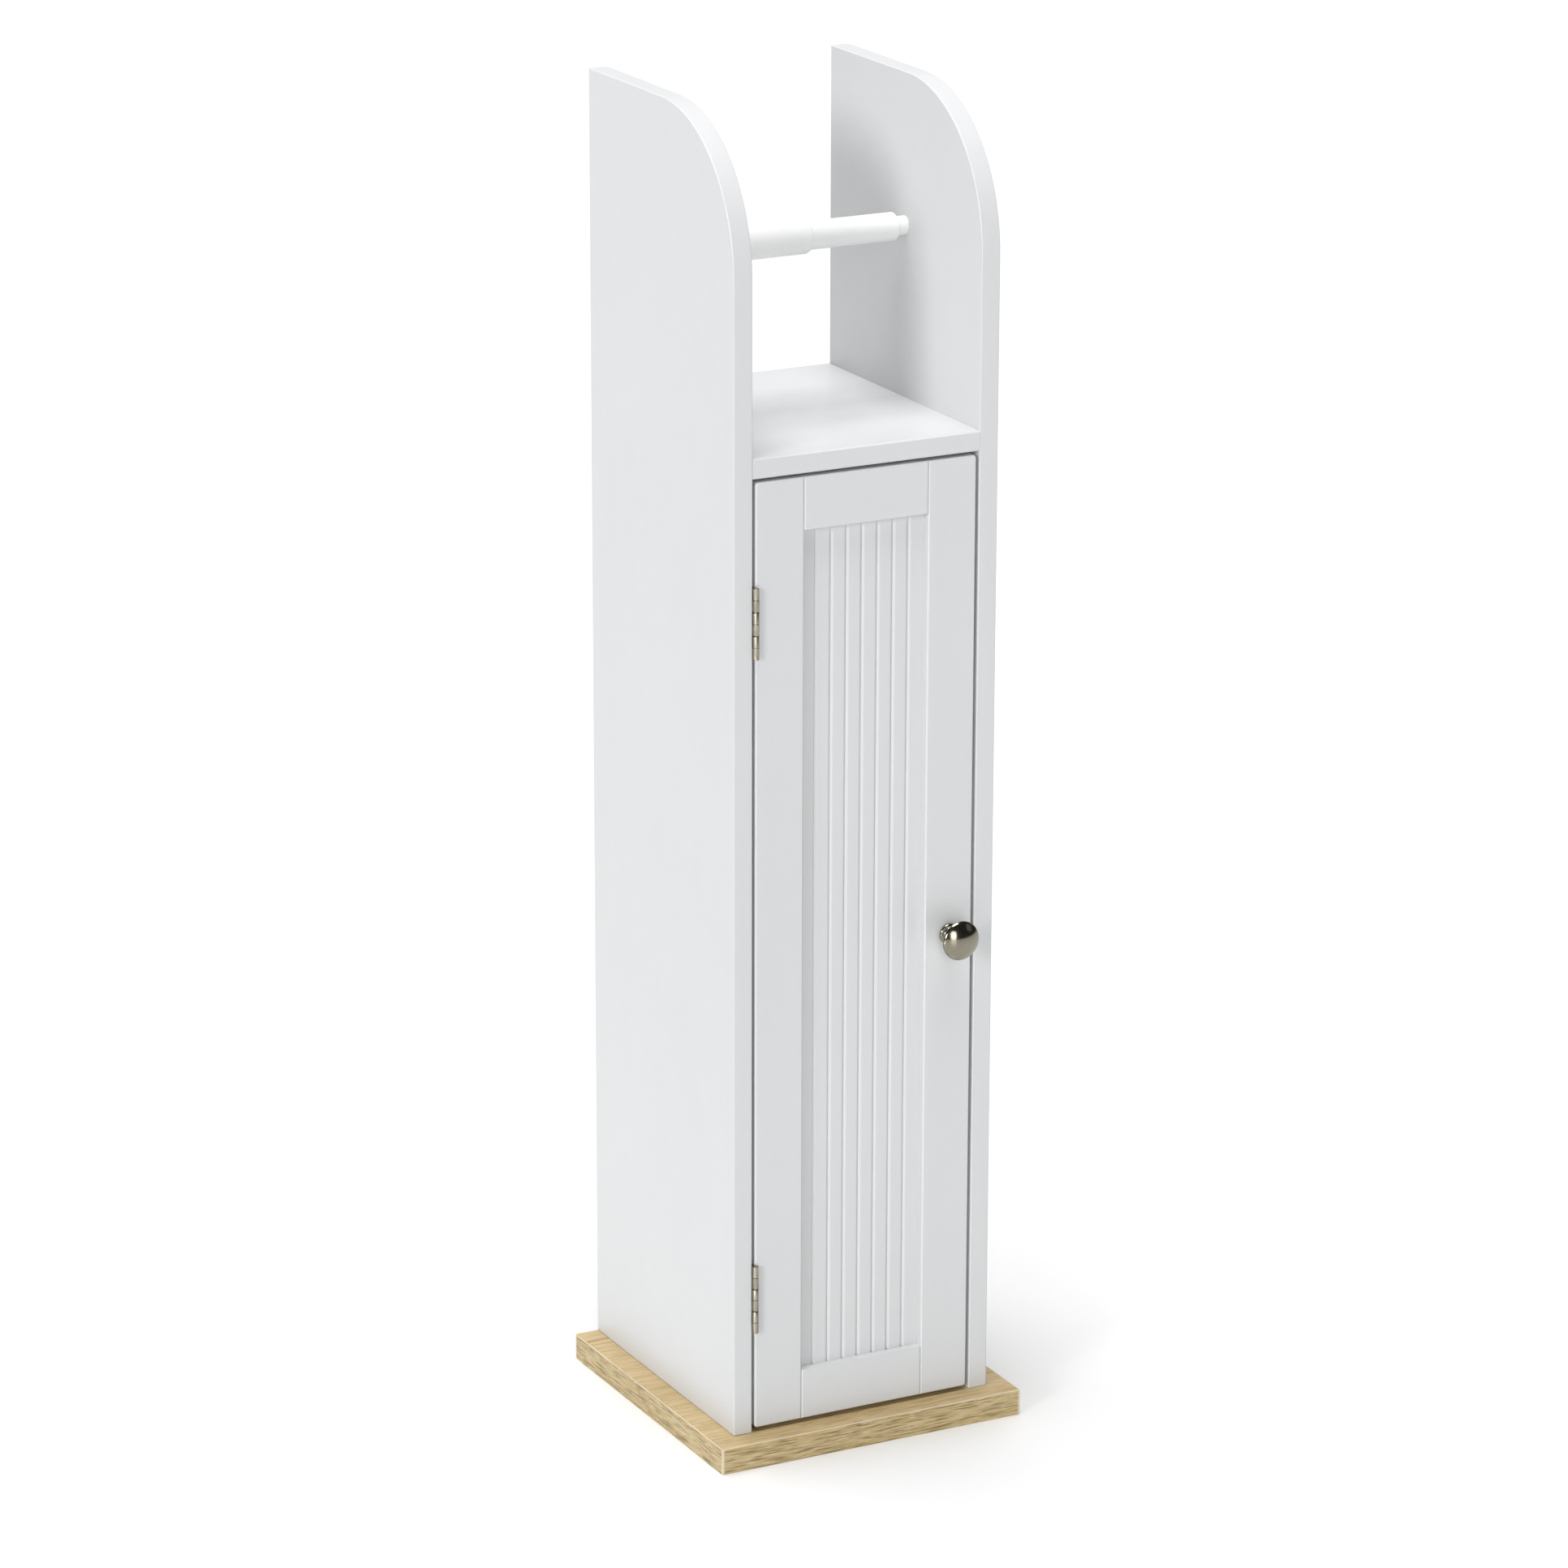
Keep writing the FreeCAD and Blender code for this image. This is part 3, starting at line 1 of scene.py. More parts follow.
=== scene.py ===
"""Looks of the narrow bathroom cabinet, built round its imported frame.

Every length is in metres, in the frame's own axes: X to the right as seen from the front, Y towards the
wall and Z up, with the origin on the floor under the middle of the base.
"""

import logging
import math
from dataclasses import dataclass, field
from enum import Enum
from typing import ClassVar, Iterable, Mapping, Sequence

import bmesh
import bpy
from mathutils import Matrix, Vector


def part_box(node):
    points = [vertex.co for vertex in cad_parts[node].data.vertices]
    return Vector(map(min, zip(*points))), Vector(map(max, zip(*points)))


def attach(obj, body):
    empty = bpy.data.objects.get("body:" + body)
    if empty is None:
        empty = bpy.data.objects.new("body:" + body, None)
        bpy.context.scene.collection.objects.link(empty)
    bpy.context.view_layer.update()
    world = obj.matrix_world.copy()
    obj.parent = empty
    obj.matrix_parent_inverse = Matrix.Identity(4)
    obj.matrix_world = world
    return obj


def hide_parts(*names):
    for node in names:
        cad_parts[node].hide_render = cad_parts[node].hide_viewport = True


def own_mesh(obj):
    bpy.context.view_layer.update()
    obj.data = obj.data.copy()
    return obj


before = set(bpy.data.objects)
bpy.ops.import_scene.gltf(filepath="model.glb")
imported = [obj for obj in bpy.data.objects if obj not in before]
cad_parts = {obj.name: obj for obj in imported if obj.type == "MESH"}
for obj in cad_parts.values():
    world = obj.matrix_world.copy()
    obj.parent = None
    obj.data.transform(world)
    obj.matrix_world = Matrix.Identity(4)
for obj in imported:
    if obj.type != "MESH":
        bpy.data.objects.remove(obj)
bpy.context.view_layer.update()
DOOR_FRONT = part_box("door_stile_left")[0].y

log = logging.getLogger("cabinet")

Point2 = tuple[float, float]
Point3 = tuple[float, float, float]
Colour = tuple[float, float, float]
Box = tuple[Vector, Vector]
BMesh = bmesh.types.BMesh
Material = bpy.types.Material
Object = bpy.types.Object
Socket = bpy.types.NodeSocket

# Nearly all of a noise, and its middle part
NOISE_SPAN = (0.3, 0.7)
NOISE_MIDDLE = (0.35, 0.65)

# Corners nearer than WELD are one, a point nearer its axis than ON_AXIS is on it, and angles are in degrees
WELD = 2e-6
ON_AXIS = 1e-7
FLAT_ANGLE = 0.5
CREASE_ANGLE = 30.0


class Axis(Enum):
    """The three axes of the frame, with the order in which a flat outline's two lengths follow them."""

    X = (0, 1, 2)
    Y = (1, 0, 2)
    Z = (2, 0, 1)

    def place(self, along: float, first: float, second: float) -> Vector:
        """Return a point of the frame.

        Args:
            along: Its place along the axis.
            first: Its place on the first axis across it.
            second: Its place on the second one.

        Returns:
            The point.
        """
        point = Vector()
        for index, number in zip(self.value, (along, first, second)):
            point[index] = number
        return point

    def unit(self, sign: float = 1.0) -> Vector:
        """Return a vector one long along the axis, or against it with a sign of -1."""
        return self.place(sign, 0.0, 0.0)


# Nodes of materials and of geometry trees

class NodeSheet:
    """Adds nodes to a material's or a geometry tree and joins them."""

    def __init__(self, tree: bpy.types.NodeTree) -> None:
        """Start on an empty tree."""
        self.tree = tree
        tree.nodes.clear()

    def add(self, kind: str, inputs: Mapping | None = None, **settings: object) -> bpy.types.Node:
        """Add one node.

        Args:
            kind: The node's type name.
            inputs: Values or sockets for its inputs, by name or place.
            settings: Values for the node's own settings.

        Returns:
            The new node.
        """
        node = self.tree.nodes.new(kind)
        for name, setting in settings.items():
            setattr(node, name, setting)
        for name, given in (inputs or {}).items():
            self.feed(node.inputs[name], given)
        return node

    def feed(self, socket: Socket, given: object) -> None:
        """Join a socket to another one, or set its value.

        Args:
            socket: The input to fill.
            given: The output that feeds it, or a value.
        """
        if isinstance(given, Socket):
            self.tree.links.new(given, socket)
        else:
            socket.default_value = given

    def math(self, operation: str, *values: object) -> Socket:
        """Return the result of one sum."""
        node = self.add("ShaderNodeMath", dict(enumerate(values)), operation=operation)
        return node.outputs[0]

    def vector_math(self, operation: str, first: object, second: object) -> bpy.types.Node:
        """Return the node that works on two vectors."""
        return self.add("ShaderNodeVectorMath", {0: first, 1: second}, operation=operation)

    def spread(self, value: object, low: float, high: float, to_low: object, to_high: object,
               smooth: bool = False) -> Socket:
        """Return a value moved from one range to another.

        Args:
            value: The socket or number to move.
            low: Start of the range that it comes from.
            high: End of that range.
            to_low: What the start becomes.
            to_high: What the end becomes.
            smooth: Whether the change eases in and out.

        Returns:
            The socket with the moved value.
        """
        kind = "SMOOTHSTEP" if smooth else "LINEAR"
        inputs = {"Value": value, "From Min": low, "From Max": high, "To Min": to_low, "To Max": to_high}
        return self.add("ShaderNodeMapRange", inputs, interpolation_type=kind).outputs["Result"]

    def blend(self, factor: object, first: object, second: object) -> Socket:
        """Return a colour between two colours.

        Args:
            factor: How far it lies from the first to the second, from 0 to 1.
            first: The first colour, or a socket with it.
            second: The second one.

        Returns:
            The socket with the colour.
        """
        ends = [end if isinstance(end, Socket) else (*end, 1.0) for end in (first, second)]
        node = self.add("ShaderNodeMix", {0: factor, 6: ends[0], 7: ends[1]}, data_type="RGBA")
        return node.outputs[2]

    def shade(self, noise: Socket, colour: Colour, share: float) -> Socket:
        """Return a colour that a noise darkens in places, down to a share of it."""
        factor = self.spread(noise, *NOISE_MIDDLE, 0.0, 1.0)
        return self.blend(factor, colour, [part * share for part in colour])

    def shine(self, noise: Socket, roughness: float, shares: Point2) -> Socket:
        """Return a roughness that follows a noise, from one share of it to the other."""
        return self.spread(noise, *NOISE_SPAN, roughness * shares[0], roughness * shares[1])

    def place(self) -> Socket:
        """Return where a point of the surface lies, in the frame's own axes."""
        return self.add("ShaderNodeTexCoord").outputs["Object"]

    def point(self, **parts: object) -> Socket:
        """Return a point made of numbers or sockets for X, Y and Z; a part that isn't given is 0."""
        return self.add("ShaderNodeCombineXYZ", parts).outputs[0]

    def noise(self, scale: Sequence[float], detail: float = 3.0, roughness: float = 0.5,
              twist: float = 0.0) -> Socket:
        """Return a noise on object coordinates.

        Args:
            scale: Spots per metre along each axis.
            detail: How many finer layers the noise has.
            roughness: How strong those layers are.
            twist: How far the noise is bent by itself.

        Returns:
            The noise as one number from 0 to 1.
        """
        mapped = self.add("ShaderNodeMapping", {"Vector": self.place(), "Scale": scale}).outputs["Vector"]
        layers = {"Detail": detail, "Roughness": roughness, "Distortion": twist}
        return self.add("ShaderNodeTexNoise", {"Vector": mapped, "Scale": 1.0, **layers}).outputs["Fac"]

    def ramp(self, factor: object, stops: Iterable[tuple[float, Colour]]) -> Socket:
        """Return the colour at a place on a ramp.

        Args:
            factor: The place, from 0 to 1.
            stops: Place and colour of the ramp's two stops.

        Returns:
            The socket with the colour.
        """
        node = self.add("ShaderNodeValToRGB", {"Fac": factor})
        for element, (place, colour) in zip(node.color_ramp.elements, stops):
            element.position = place
            element.color = (*colour, 1.0)
        return node.outputs["Color"]

    def bump(self, height: object, distance: float, strength: float, under: object = None) -> Socket:
        """Return a normal bent by a height.

        Args:
            height: The height, from 0 to 1.
            distance: What a height of 1 stands for.
            strength: How much of the bend shows.
            under: Another bump that it lies on, if there is one.

        Returns:
            The socket with the normal.
        """
        inputs = {"Height": height, "Distance": distance, "Strength": strength}
        if under is not None:
            inputs["Normal"] = under
        return self.add("ShaderNodeBump", inputs).outputs["Normal"]


def shader_sheet(name: str, constants: Mapping) -> tuple[Material, NodeSheet, bpy.types.Node]:
    """Start a material.

    Args:
        name: The material's name.
        constants: Values for the shader's own sockets.

    Returns:
        The material, its sheet of nodes and its shader.
    """
    material = bpy.data.materials.new(name)
    material.use_nodes = True
    sheet = NodeSheet(material.node_tree)
    shader = sheet.add("ShaderNodeBsdfPrincipled", constants)
    output = sheet.add("ShaderNodeOutputMaterial")
    sheet.feed(output.inputs["Surface"], shader.outputs["BSDF"])
    return material, sheet, shader


# Finishes

@dataclass(frozen=True)
class Look:
    """A material, and the record's slot that its pieces are painted from."""

    material: Material
    slot: str


@dataclass(frozen=True)
class Finish:
    """A finish for the pieces of one slot; the kinds of finish below say what its surface is like."""

    name: str
    slot: str

    def constants(self) -> dict[str, object]:
        """Return what is the same all over, by the shader's inputs."""
        raise NotImplementedError

    def surface(self, sheet: NodeSheet) -> dict[str, Socket]:
        """Return what changes over the surface, by the shader's inputs."""
        raise NotImplementedError

    def look(self) -> Look:
        """Make the finish's material.

        Returns:
            The material with the finish's slot.
        """
        material, sheet, shader = shader_sheet(self.name, self.constants())
        for name, socket in self.surface(sheet).items():
            sheet.feed(shader.inputs[name], socket)
        return Look(material, self.slot)


@dataclass(frozen=True)
class PaintFinish(Finish):
    """Sprayed white paint on fibreboard, with a fine peel and a faint change of tone."""

    colour: Colour
    roughness: float
    peel_per_metre: float = 700.0
    peel_height: float = 0.00003
    peel_strength: float = 0.5
    wave_per_metre: float = 45.0
    wave_height: float = 0.00025
    wave_strength: float = 0.35
    smear_per_metre: Point3 = (60.0, 60.0, 30.0)
    tone_per_metre: Point3 = (9.0, 9.0, 6.0)
    tone_share: float = 0.985
    shine_shares: Point2 = (0.9, 1.12)

    def constants(self) -> dict[str, object]:
        """Return the glass-like shine of the paint."""
        return {"IOR": 1.5, "Coat Weight": 0.12, "Coat Roughness": 0.16}

    def surface(self, sheet: NodeSheet) -> dict[str, Socket]:
        """Return the faint change of tone, the smears of the shine and the peel over soft waves.

        Args:
            sheet: The material's sheet of nodes.

        Returns:
            Sockets by the shader's inputs.
        """
        tone = sheet.noise(self.tone_per_metre, detail=4.0)
        smear = sheet.noise(self.smear_per_metre, detail=5.0, roughness=0.6)
        waves = sheet.noise((self.wave_per_metre,) * 3, detail=1.0)
        wave = sheet.bump(waves, self.wave_height, self.wave_strength)
        peel = sheet.noise((self.peel_per_metre,) * 3, detail=2.0)
        return {
            "Base Color": sheet.shade(tone, self.colour, self.tone_share),
            "Roughness": sheet.shine(smear, self.roughness, self.shine_shares),
            "Normal": sheet.bump(peel, self.peel_height, self.peel_strength, wave),
        }


@dataclass(frozen=True)
class OakFinish(Finish):
    """Printed oak foil: bands of tone, fibres, dark streaks and pale flecks along one axis."""

    grain: Axis
    light: Colour = (0.53, 0.405, 0.222)
    middle: Colour = (0.355, 0.247, 0.10)
    dark: Colour = (0.185, 0.105, 0.026)
    pale: Colour = (0.66, 0.58, 0.43)
    figure_length: float = 0.30
    figure_width: float = 0.016
    fibre_length: float = 0.06
    fibre_width: float = 0.0021
    fibre_share: float = 0.55
    figure_span: Point2 = (0.30, 0.58)
    fibre_span: Point2 = (0.34, 0.58)
    streak_span: Point2 = (0.37, 0.52)
    fleck_span: Point2 = (0.56, 0.66)
    streak_share: float = 0.35
    streak_length: float = 0.016
    streak_width: float = 0.0016
    streak_twist: float = 0.8
    streak_depth: float = 0.0001
    streak_strength: float = 0.5
    fleck_share: float = 0.0
    fleck_length_share: float = 0.6
    fleck_width_share: float = 0.8
    roughness: float = 0.42
    roughness_rise: float = 0.08

    def along(self, length: float, width: float) -> Point3:
        """Return the scale of spots that are drawn out along the grain.

        Args:
            length: How long a spot is along the grain.
            width: How wide it is across the grain.

        Returns:
            Spots per metre along each axis.
        """
        scale = [1.0 / width] * 3
        scale[self.grain.value[0]] = 1.0 / length
        return tuple(scale)

    def constants(self) -> dict[str, object]:
        """Return the dull shine of the foil."""
        return {"IOR": 1.48, "Coat Weight": 0.08, "Coat Roughness": 0.3}

    def surface(self, sheet: NodeSheet) -> dict[str, Socket]:
        """Return the print of the foil, layer on layer, with a roughness and bumps that follow it.

        Args:
            sheet: The material's sheet of nodes.

        Returns:
            Sockets by the shader's inputs.
        """
        figure_scale = self.along(self.figure_length, self.figure_width)
        figure = sheet.noise(figure_scale, detail=4.0, roughness=0.6, twist=0.9)
        fibre = sheet.noise(self.along(self.fibre_length, self.fibre_width), detail=4.0, roughness=0.65)
        streak_scale = self.along(self.streak_length, self.streak_width)
        streaks = sheet.noise(streak_scale, twist=self.streak_twist)
        fleck_length = self.streak_length * self.fleck_length_share
        fleck_width = self.streak_width * self.fleck_width_share
        flecks = sheet.noise(self.along(fleck_length, fleck_width), detail=2.0)
        tone = sheet.ramp(figure, zip(self.figure_span, (self.middle, self.light)))
        fine = sheet.ramp(fibre, zip(self.fibre_span, (self.middle, self.light)))
        colour = sheet.blend(self.fibre_share, tone, fine)
        dash = sheet.spread(streaks, *self.streak_span, self.streak_share, 0.0)
        fleck = sheet.spread(flecks, *self.fleck_span, 0.0, self.fleck_share)
        colour = sheet.blend(fleck, sheet.blend(dash, colour, self.dark), self.pale)
        dull = self.roughness + self.roughness_rise
        return {
            "Base Color": self.finished(sheet, colour),
            "Roughness": sheet.spread(fibre, *NOISE_SPAN, dull, self.roughness),
            "Normal": sheet.bump(streaks, self.streak_depth, self.streak_strength),
        }

    def finished(self, sheet: NodeSheet, colour: Socket) -> Socket:
        """Return the foil's colour; the kinds of foil below add their own marks to it."""
        return colour


@dataclass(frozen=True)
class PlankFinish(OakFinish):
    """Oak foil with one joint between two planks and a few small knots."""

    joint_place: float = 0.0
    joint_width: float = 0.0009
    joint_sway: float = 0.0006
    joint_core_share: float = 0.4
    joint_darkness: float = 0.8
    sway_per_metre: Point3 = (40.0, 0.0, 0.0)
    step_width: float = 0.0004
    step_share: float = 0.35
    knots: tuple[Point2, ...] = ()
    knot_radius: float = 0.0008
    knot_core_share: float = 0.5
    knot_darkness: float = 0.9

    def finished(self, sheet: NodeSheet, colour: Socket) -> Socket:
        """Add the joint and the knots to the foil's colour.

        Args:
            sheet: The material's sheet of nodes.
            colour: The socket with the foil's colour.

        Returns:
            The socket with the colour and its marks.
        """
        place = sheet.place()
        across = sheet.add("ShaderNodeSeparateXYZ", {0: place}).outputs["Y"]
        sway = sheet.noise(self.sway_per_metre)
        wave = sheet.spread(sway, 0.0, 1.0, -self.joint_sway, self.joint_sway)
        offset = sheet.math("ADD", sheet.math("SUBTRACT", across, self.joint_place), wave)
        beyond = sheet.spread(offset, -self.step_width / 2, self.step_width / 2, 0.0, self.step_share)
        colour = sheet.blend(beyond, colour, self.light)
        near = sheet.math("ABSOLUTE", offset)
        core = self.joint_width * self.joint_core_share
        line = sheet.spread(near, core, self.joint_width, self.joint_darkness, 0.0)
        colour = sheet.blend(line, colour, self.dark)
        core = self.knot_radius * self.knot_core_share
        flat = sheet.vector_math("MULTIPLY", place, (1.0, 1.0, 0.0)).outputs[0]
        for x, y in self.knots:
            gap = sheet.vector_math("DISTANCE", flat, sheet.point(X=x, Y=y)).outputs["Value"]
            knot = sheet.spread(gap, core, self.knot_radius, self.knot_darkness, 0.0)
            colour = sheet.blend(knot, colour, self.dark)
        return colour


@dataclass(frozen=True)
class BandFinish(OakFinish):
    """Oak edge band, with a pale line where it was trimmed along the top rim and at the corners."""

    rim_height: float = 0.016
    corner_reach: float = 0.1
    line_width: float = 0.0008
    line_edge: float = 0.0002
    rim_paleness: float = 0.75
    corner_paleness: float = 0.9

    def finished(self, sheet: NodeSheet, colour: Socket) -> Socket:
        """Add the trimmed lines to the foil's colour.

        Args:
            sheet: The material's sheet of nodes.
            colour: The socket with the foil's colour.

        Returns:
            The socket with the colour and its lines.
        """
        parts = sheet.add("ShaderNodeSeparateXYZ", {0: sheet.place()}).outputs
        line_start, line_end = self.rim_height - self.line_width, self.rim_height - self.line_edge
        top = sheet.spread(parts["Z"], line_start, line_end, 0.0, self.rim_paleness)
        reach = sheet.math("ADD", sheet.math("ABSOLUTE", parts["X"]), sheet.math("ABSOLUTE", parts["Y"]))
        end = 2 * self.corner_reach
        start, stop = end - 2 * self.line_width, end - self.line_width
        corner = sheet.spread(reach, start, stop, 0.0, self.corner_paleness)
        return sheet.blend(sheet.math("MAXIMUM", top, corner), colour, self.pale)


@dataclass(frozen=True)
class MetalFinish(Finish):
    """Plated metal with fine polishing marks along one axis and a faint tarnish."""

    colour: Colour
    tarnish: Colour
    roughness: float
    marks: Axis = Axis.Z
    mark_length: float = 0.008
    mark_width: float = 0.0002
    mark_height: float = 0.00001
    mark_strength: float = 0.4
    shine_shares: Point2 = (0.8, 1.3)
    brushed_share: float = 0.0
    cloud_per_metre: float = 160.0
    cloud_span: Point2 = (0.42, 0.75)
    tarnish_share: float = 0.6

    def constants(self) -> dict[str, object]:
        """Return the shine of bare metal."""
        return {"Metallic": 1.0, "Anisotropic": self.brushed_share}

    def surface(self, sheet: NodeSheet) -> dict[str, Socket]:
        """Return the tarnish and the polishing marks, which also stretch the highlights of brushed metal.

        Args:
            sheet: The material's sheet of nodes.

        Returns:
            Sockets by the shader's inputs.
        """
        scale = [1.0 / self.mark_width] * 3
        scale[self.marks.value[0]] = 1.0 / self.mark_length
        marks = sheet.noise(scale)
        cloud = sheet.noise((self.cloud_per_metre,) * 3, detail=4.0, roughness=0.6)
        dulled = sheet.spread(cloud, *self.cloud_span, 0.0, self.tarnish_share)
        sockets = {
            "Base Color": sheet.blend(dulled, self.colour, self.tarnish),
            "Roughness": sheet.shine(marks, self.roughness, self.shine_shares),
            "Normal": sheet.bump(marks, self.mark_height, self.mark_strength),
        }
        if self.brushed_share:
            sockets["Tangent"] = sheet.point(**{self.marks.name: 1.0})
        return sockets


@dataclass(frozen=True)
class PlasticFinish(Finish):
    """Moulded plastic that lets a little light in, with a fine skin."""

    colour: Colour
    roughness: float
    glow_share: float = 0.0
    glow_depth: float = 0.004
    tone_share: float = 0.975
    flow_per_metre: Point3 = (40.0, 120.0, 120.0)
    skin_per_metre: float = 1400.0
    skin_height: float = 0.00002
    skin_strength: float = 0.4
    shine_shares: Point2 = (0.85, 1.15)

    def constants(self) -> dict[str, object]:
        """Return the shine of the plastic and how far light goes into it.

        Returns:
            Values by the shader's inputs.
        """
        return {
            "IOR": 1.5,
            "Subsurface Weight": self.glow_share,
            "Subsurface Radius": (1.0, 1.0, 1.0),
            "Subsurface Scale": self.glow_depth,
        }

    def surface(self, sheet: NodeSheet) -> dict[str, Socket]:
        """Return the faint flow lines of the moulding and its fine skin.

        Args:
            sheet: The material's sheet of nodes.

        Returns:
            Sockets by the shader's inputs.
        """
        flow = sheet.noise(self.flow_per_metre)
        skin = sheet.noise((self.skin_per_metre,) * 3, detail=2.0)
        return {
            "Base Color": sheet.shade(flow, self.colour, self.tone_share),
            "Roughness": sheet.shine(skin, self.roughness, self.shine_shares),
            "Normal": sheet.bump(skin, self.skin_height, self.skin_strength),
        }


def make_looks() -> dict[str, Look]:
    """Make every look of the cabinet once.

    Returns:
        The looks by the names of their finishes.
    """
    white = (0.612, 0.621, 0.627)
    board_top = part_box("base_board")[1]
    band = {
        "light": (0.53, 0.42, 0.22),
        "middle": (0.36, 0.25, 0.09),
        "dark": (0.12, 0.064, 0.01),
        "streak_share": 0.70,
        "streak_length": 0.018,
        "streak_width": 0.0010,
        "streak_twist": 0.2,
        "fleck_share": 0.5,
        "rim_height": board_top.z,
        "corner_reach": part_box("base_edge_band_right")[1].x,
    }
    finishes = (
        PaintFinish("white_paint", "painted_board", white, 0.42),
        PaintFinish("white_shelf_paint", "painted_board", white, 0.22),
        PaintFinish("white_back_foil", "back_board", white, 0.5, peel_per_metre=300.0),
        PlankFinish(
            "oak_foil",
            "oak_board",
            Axis.X,
            streak_share=0.36,
            joint_place=board_top.y * 0.855,
            knots=((-0.0983, 0.0845), (-0.0867, -0.039)),
        ),
        BandFinish("oak_band_front", "oak_band", Axis.X, **band),
        BandFinish("oak_band_side", "oak_band", Axis.Y, **band),
        OakFinish(
            "beech_dowel",
            "dowel_wood",
            Axis.X,
            light=(0.78, 0.60, 0.40),
            middle=(0.70, 0.52, 0.33),
            roughness=0.6,
        ),
        MetalFinish("zinc_plate", "zinc_steel", (0.74, 0.74, 0.73), (0.55, 0.56, 0.58), 0.28),
        MetalFinish(
            "hinge_nickel",
            "hinge_metal",
            (0.40, 0.375, 0.30),
            (0.26, 0.235, 0.17),
            0.32,
            brushed_share=0.75,
        ),
        MetalFinish(
            "knob_nickel",
            "polished_nickel",
            (0.27, 0.255, 0.20),
            (0.23, 0.21, 0.16),
            0.15,
            marks=Axis.Y,
            mark_height=0.000004,
        ),
        PlasticFinish("roller_plastic", "white_plastic", (0.84, 0.85, 0.84), 0.3, glow_share=0.5),
        PlasticFinish("catch_plastic", "catch_plastic", (0.86, 0.86, 0.85), 0.45),
        PlasticFinish("ferrite", "magnet", (0.035, 0.035, 0.038), 0.6, skin_height=0.00006),
        MetalFinish("spring_wire", "spring_steel", (0.60, 0.60, 0.61), (0.45, 0.44, 0.43), 0.3),
    )
    return {finish.name: finish.look() for finish in finishes}


# Meshes

def object_from(bm: BMesh, name: str, smooth: bool = True) -> Object:
    """Turn a bmesh into an object of the scene.

    Args:
        bm: The mesh that was built; it is freed here.
        name: The object's name.
        smooth: Whether its faces are shaded smooth.

    Returns:
        The new object, at the origin.
    """
    bmesh.ops.recalc_face_normals(bm, faces=bm.faces)
    mesh = bpy.data.meshes.new(name)
    bm.to_mesh(mesh)
    bm.free()
    mesh.polygons.foreach_set("use_smooth", [smooth] * len(mesh.polygons))
    made = bpy.data.objects.new(name, mesh)
    bpy.context.scene.collection.objects.link(made)
    return made


def baked(source: Object) -> Object:
    """Put the result of an object's modifiers into its mesh and take the modifiers off.

    Args:
        source: The object, with its modifiers.

    Returns:
        The same object, with one plain mesh.
    """
    bpy.context.view_layer.update()
    graph = bpy.context.evaluated_depsgraph_get()
    mesh = bpy.data.meshes.new_from_object(
        source.evaluated_get(graph), preserve_all_data_layers=True, depsgraph=graph
    )
    old = source.data
    source.modifiers.clear()
    source.data = mesh
    mesh.name = source.name
    bpy.data.meshes.remove(old)
    return source


def prism_mesh(bm: BMesh, outline: Sequence[Point2], axis: Axis, start: float, end: float) -> None:
    """Add a closed prism to a bmesh.

    Args:
        bm: The bmesh that receives it.
        outline: The points of its flat outline, in order.
        axis: The axis that the outline is pulled along.
        start: Where the prism begins on that axis.
        end: Where it ends.
    """
    first, last = [[bm.verts.new(axis.place(along, *point)) for point in outline] for along in (start, end)]
    bm.faces.new(first)
    bm.faces.new(reversed(last))
    for index in range(len(outline)):
        bm.faces.new((first[index - 1], first[index], last[index], last[index - 1]))


def lathe_mesh(bm: BMesh, profile: Sequence[Point2], axis: Axis, centre: Point2, steps: int) -> None:
    """Add a turned shape to a bmesh.

    Args:
        bm: The bmesh that receives it.
        profile: Points as (place along the axis, radius), from one end on the axis to the other.
        axis: The axis that it is turned about.
        centre: Where the axis lies across the other two axes.
        steps: How many steps go round.
    """
    turns = [math.tau * step / steps for step in range(steps)]
    rings = []
    for along, radius in profile:
        if radius < ON_AXIS:
            rings.append([bm.verts.new(axis.place(along, *centre))])
            continue
        ring = [(centre[0] + radius * math.cos(turn), centre[1] + radius * math.sin(turn)) for turn in turns]
        rings.append([bm.verts.new(axis.place(along, *point)) for point in ring])
    for first, second in zip(rings, rings[1:]):
        for step in range(steps):
            following = (step + 1) % steps
            corners = [first[step % len(first)], first[following % len(first)]]
            corners += [second[following % len(second)], second[step % len(second)]]
            unique = list(dict.fromkeys(corners))
            if len(unique) > 2:
                bm.faces.new(unique)


def turned_piece(name: str, profile: Sequence[Point2], axis: Axis, centre: Point2, steps: int,
                 sharp: float = 0.0) -> Object:
    """Return a turned piece.

    Args:
        name: Its name.
        profile: Points as (place along the axis, radius), from one end on the axis to the other.
        axis: The axis that it is turned about.
        centre: Where the axis lies across the other two axes.
        steps: How many steps go round.
        sharp: Edges that turn by more than this many degrees are shaded sharp; 0 leaves all soft.

    Returns:
        The piece, which rides on nothing yet.
    """
    bm = bmesh.new()
    lathe_mesh(bm, profile, axis, centre, steps)
    piece = object_from(bm, name)
    if sharp:
        piece.data.set_sharp_from_angle(angle=math.radians(sharp))
    return piece


def arc(centre: Point2, radius: float, start: float, end: float, steps: int) -> list[Point2]:
    """Return points on an arc, with the angles in degrees."""
    angles = [math.radians(start + (end - start) * step / steps) for step in range(steps + 1)]
    return [(centre[0] + radius * math.cos(angle), centre[1] + radius * math.sin(angle)) for angle in angles]


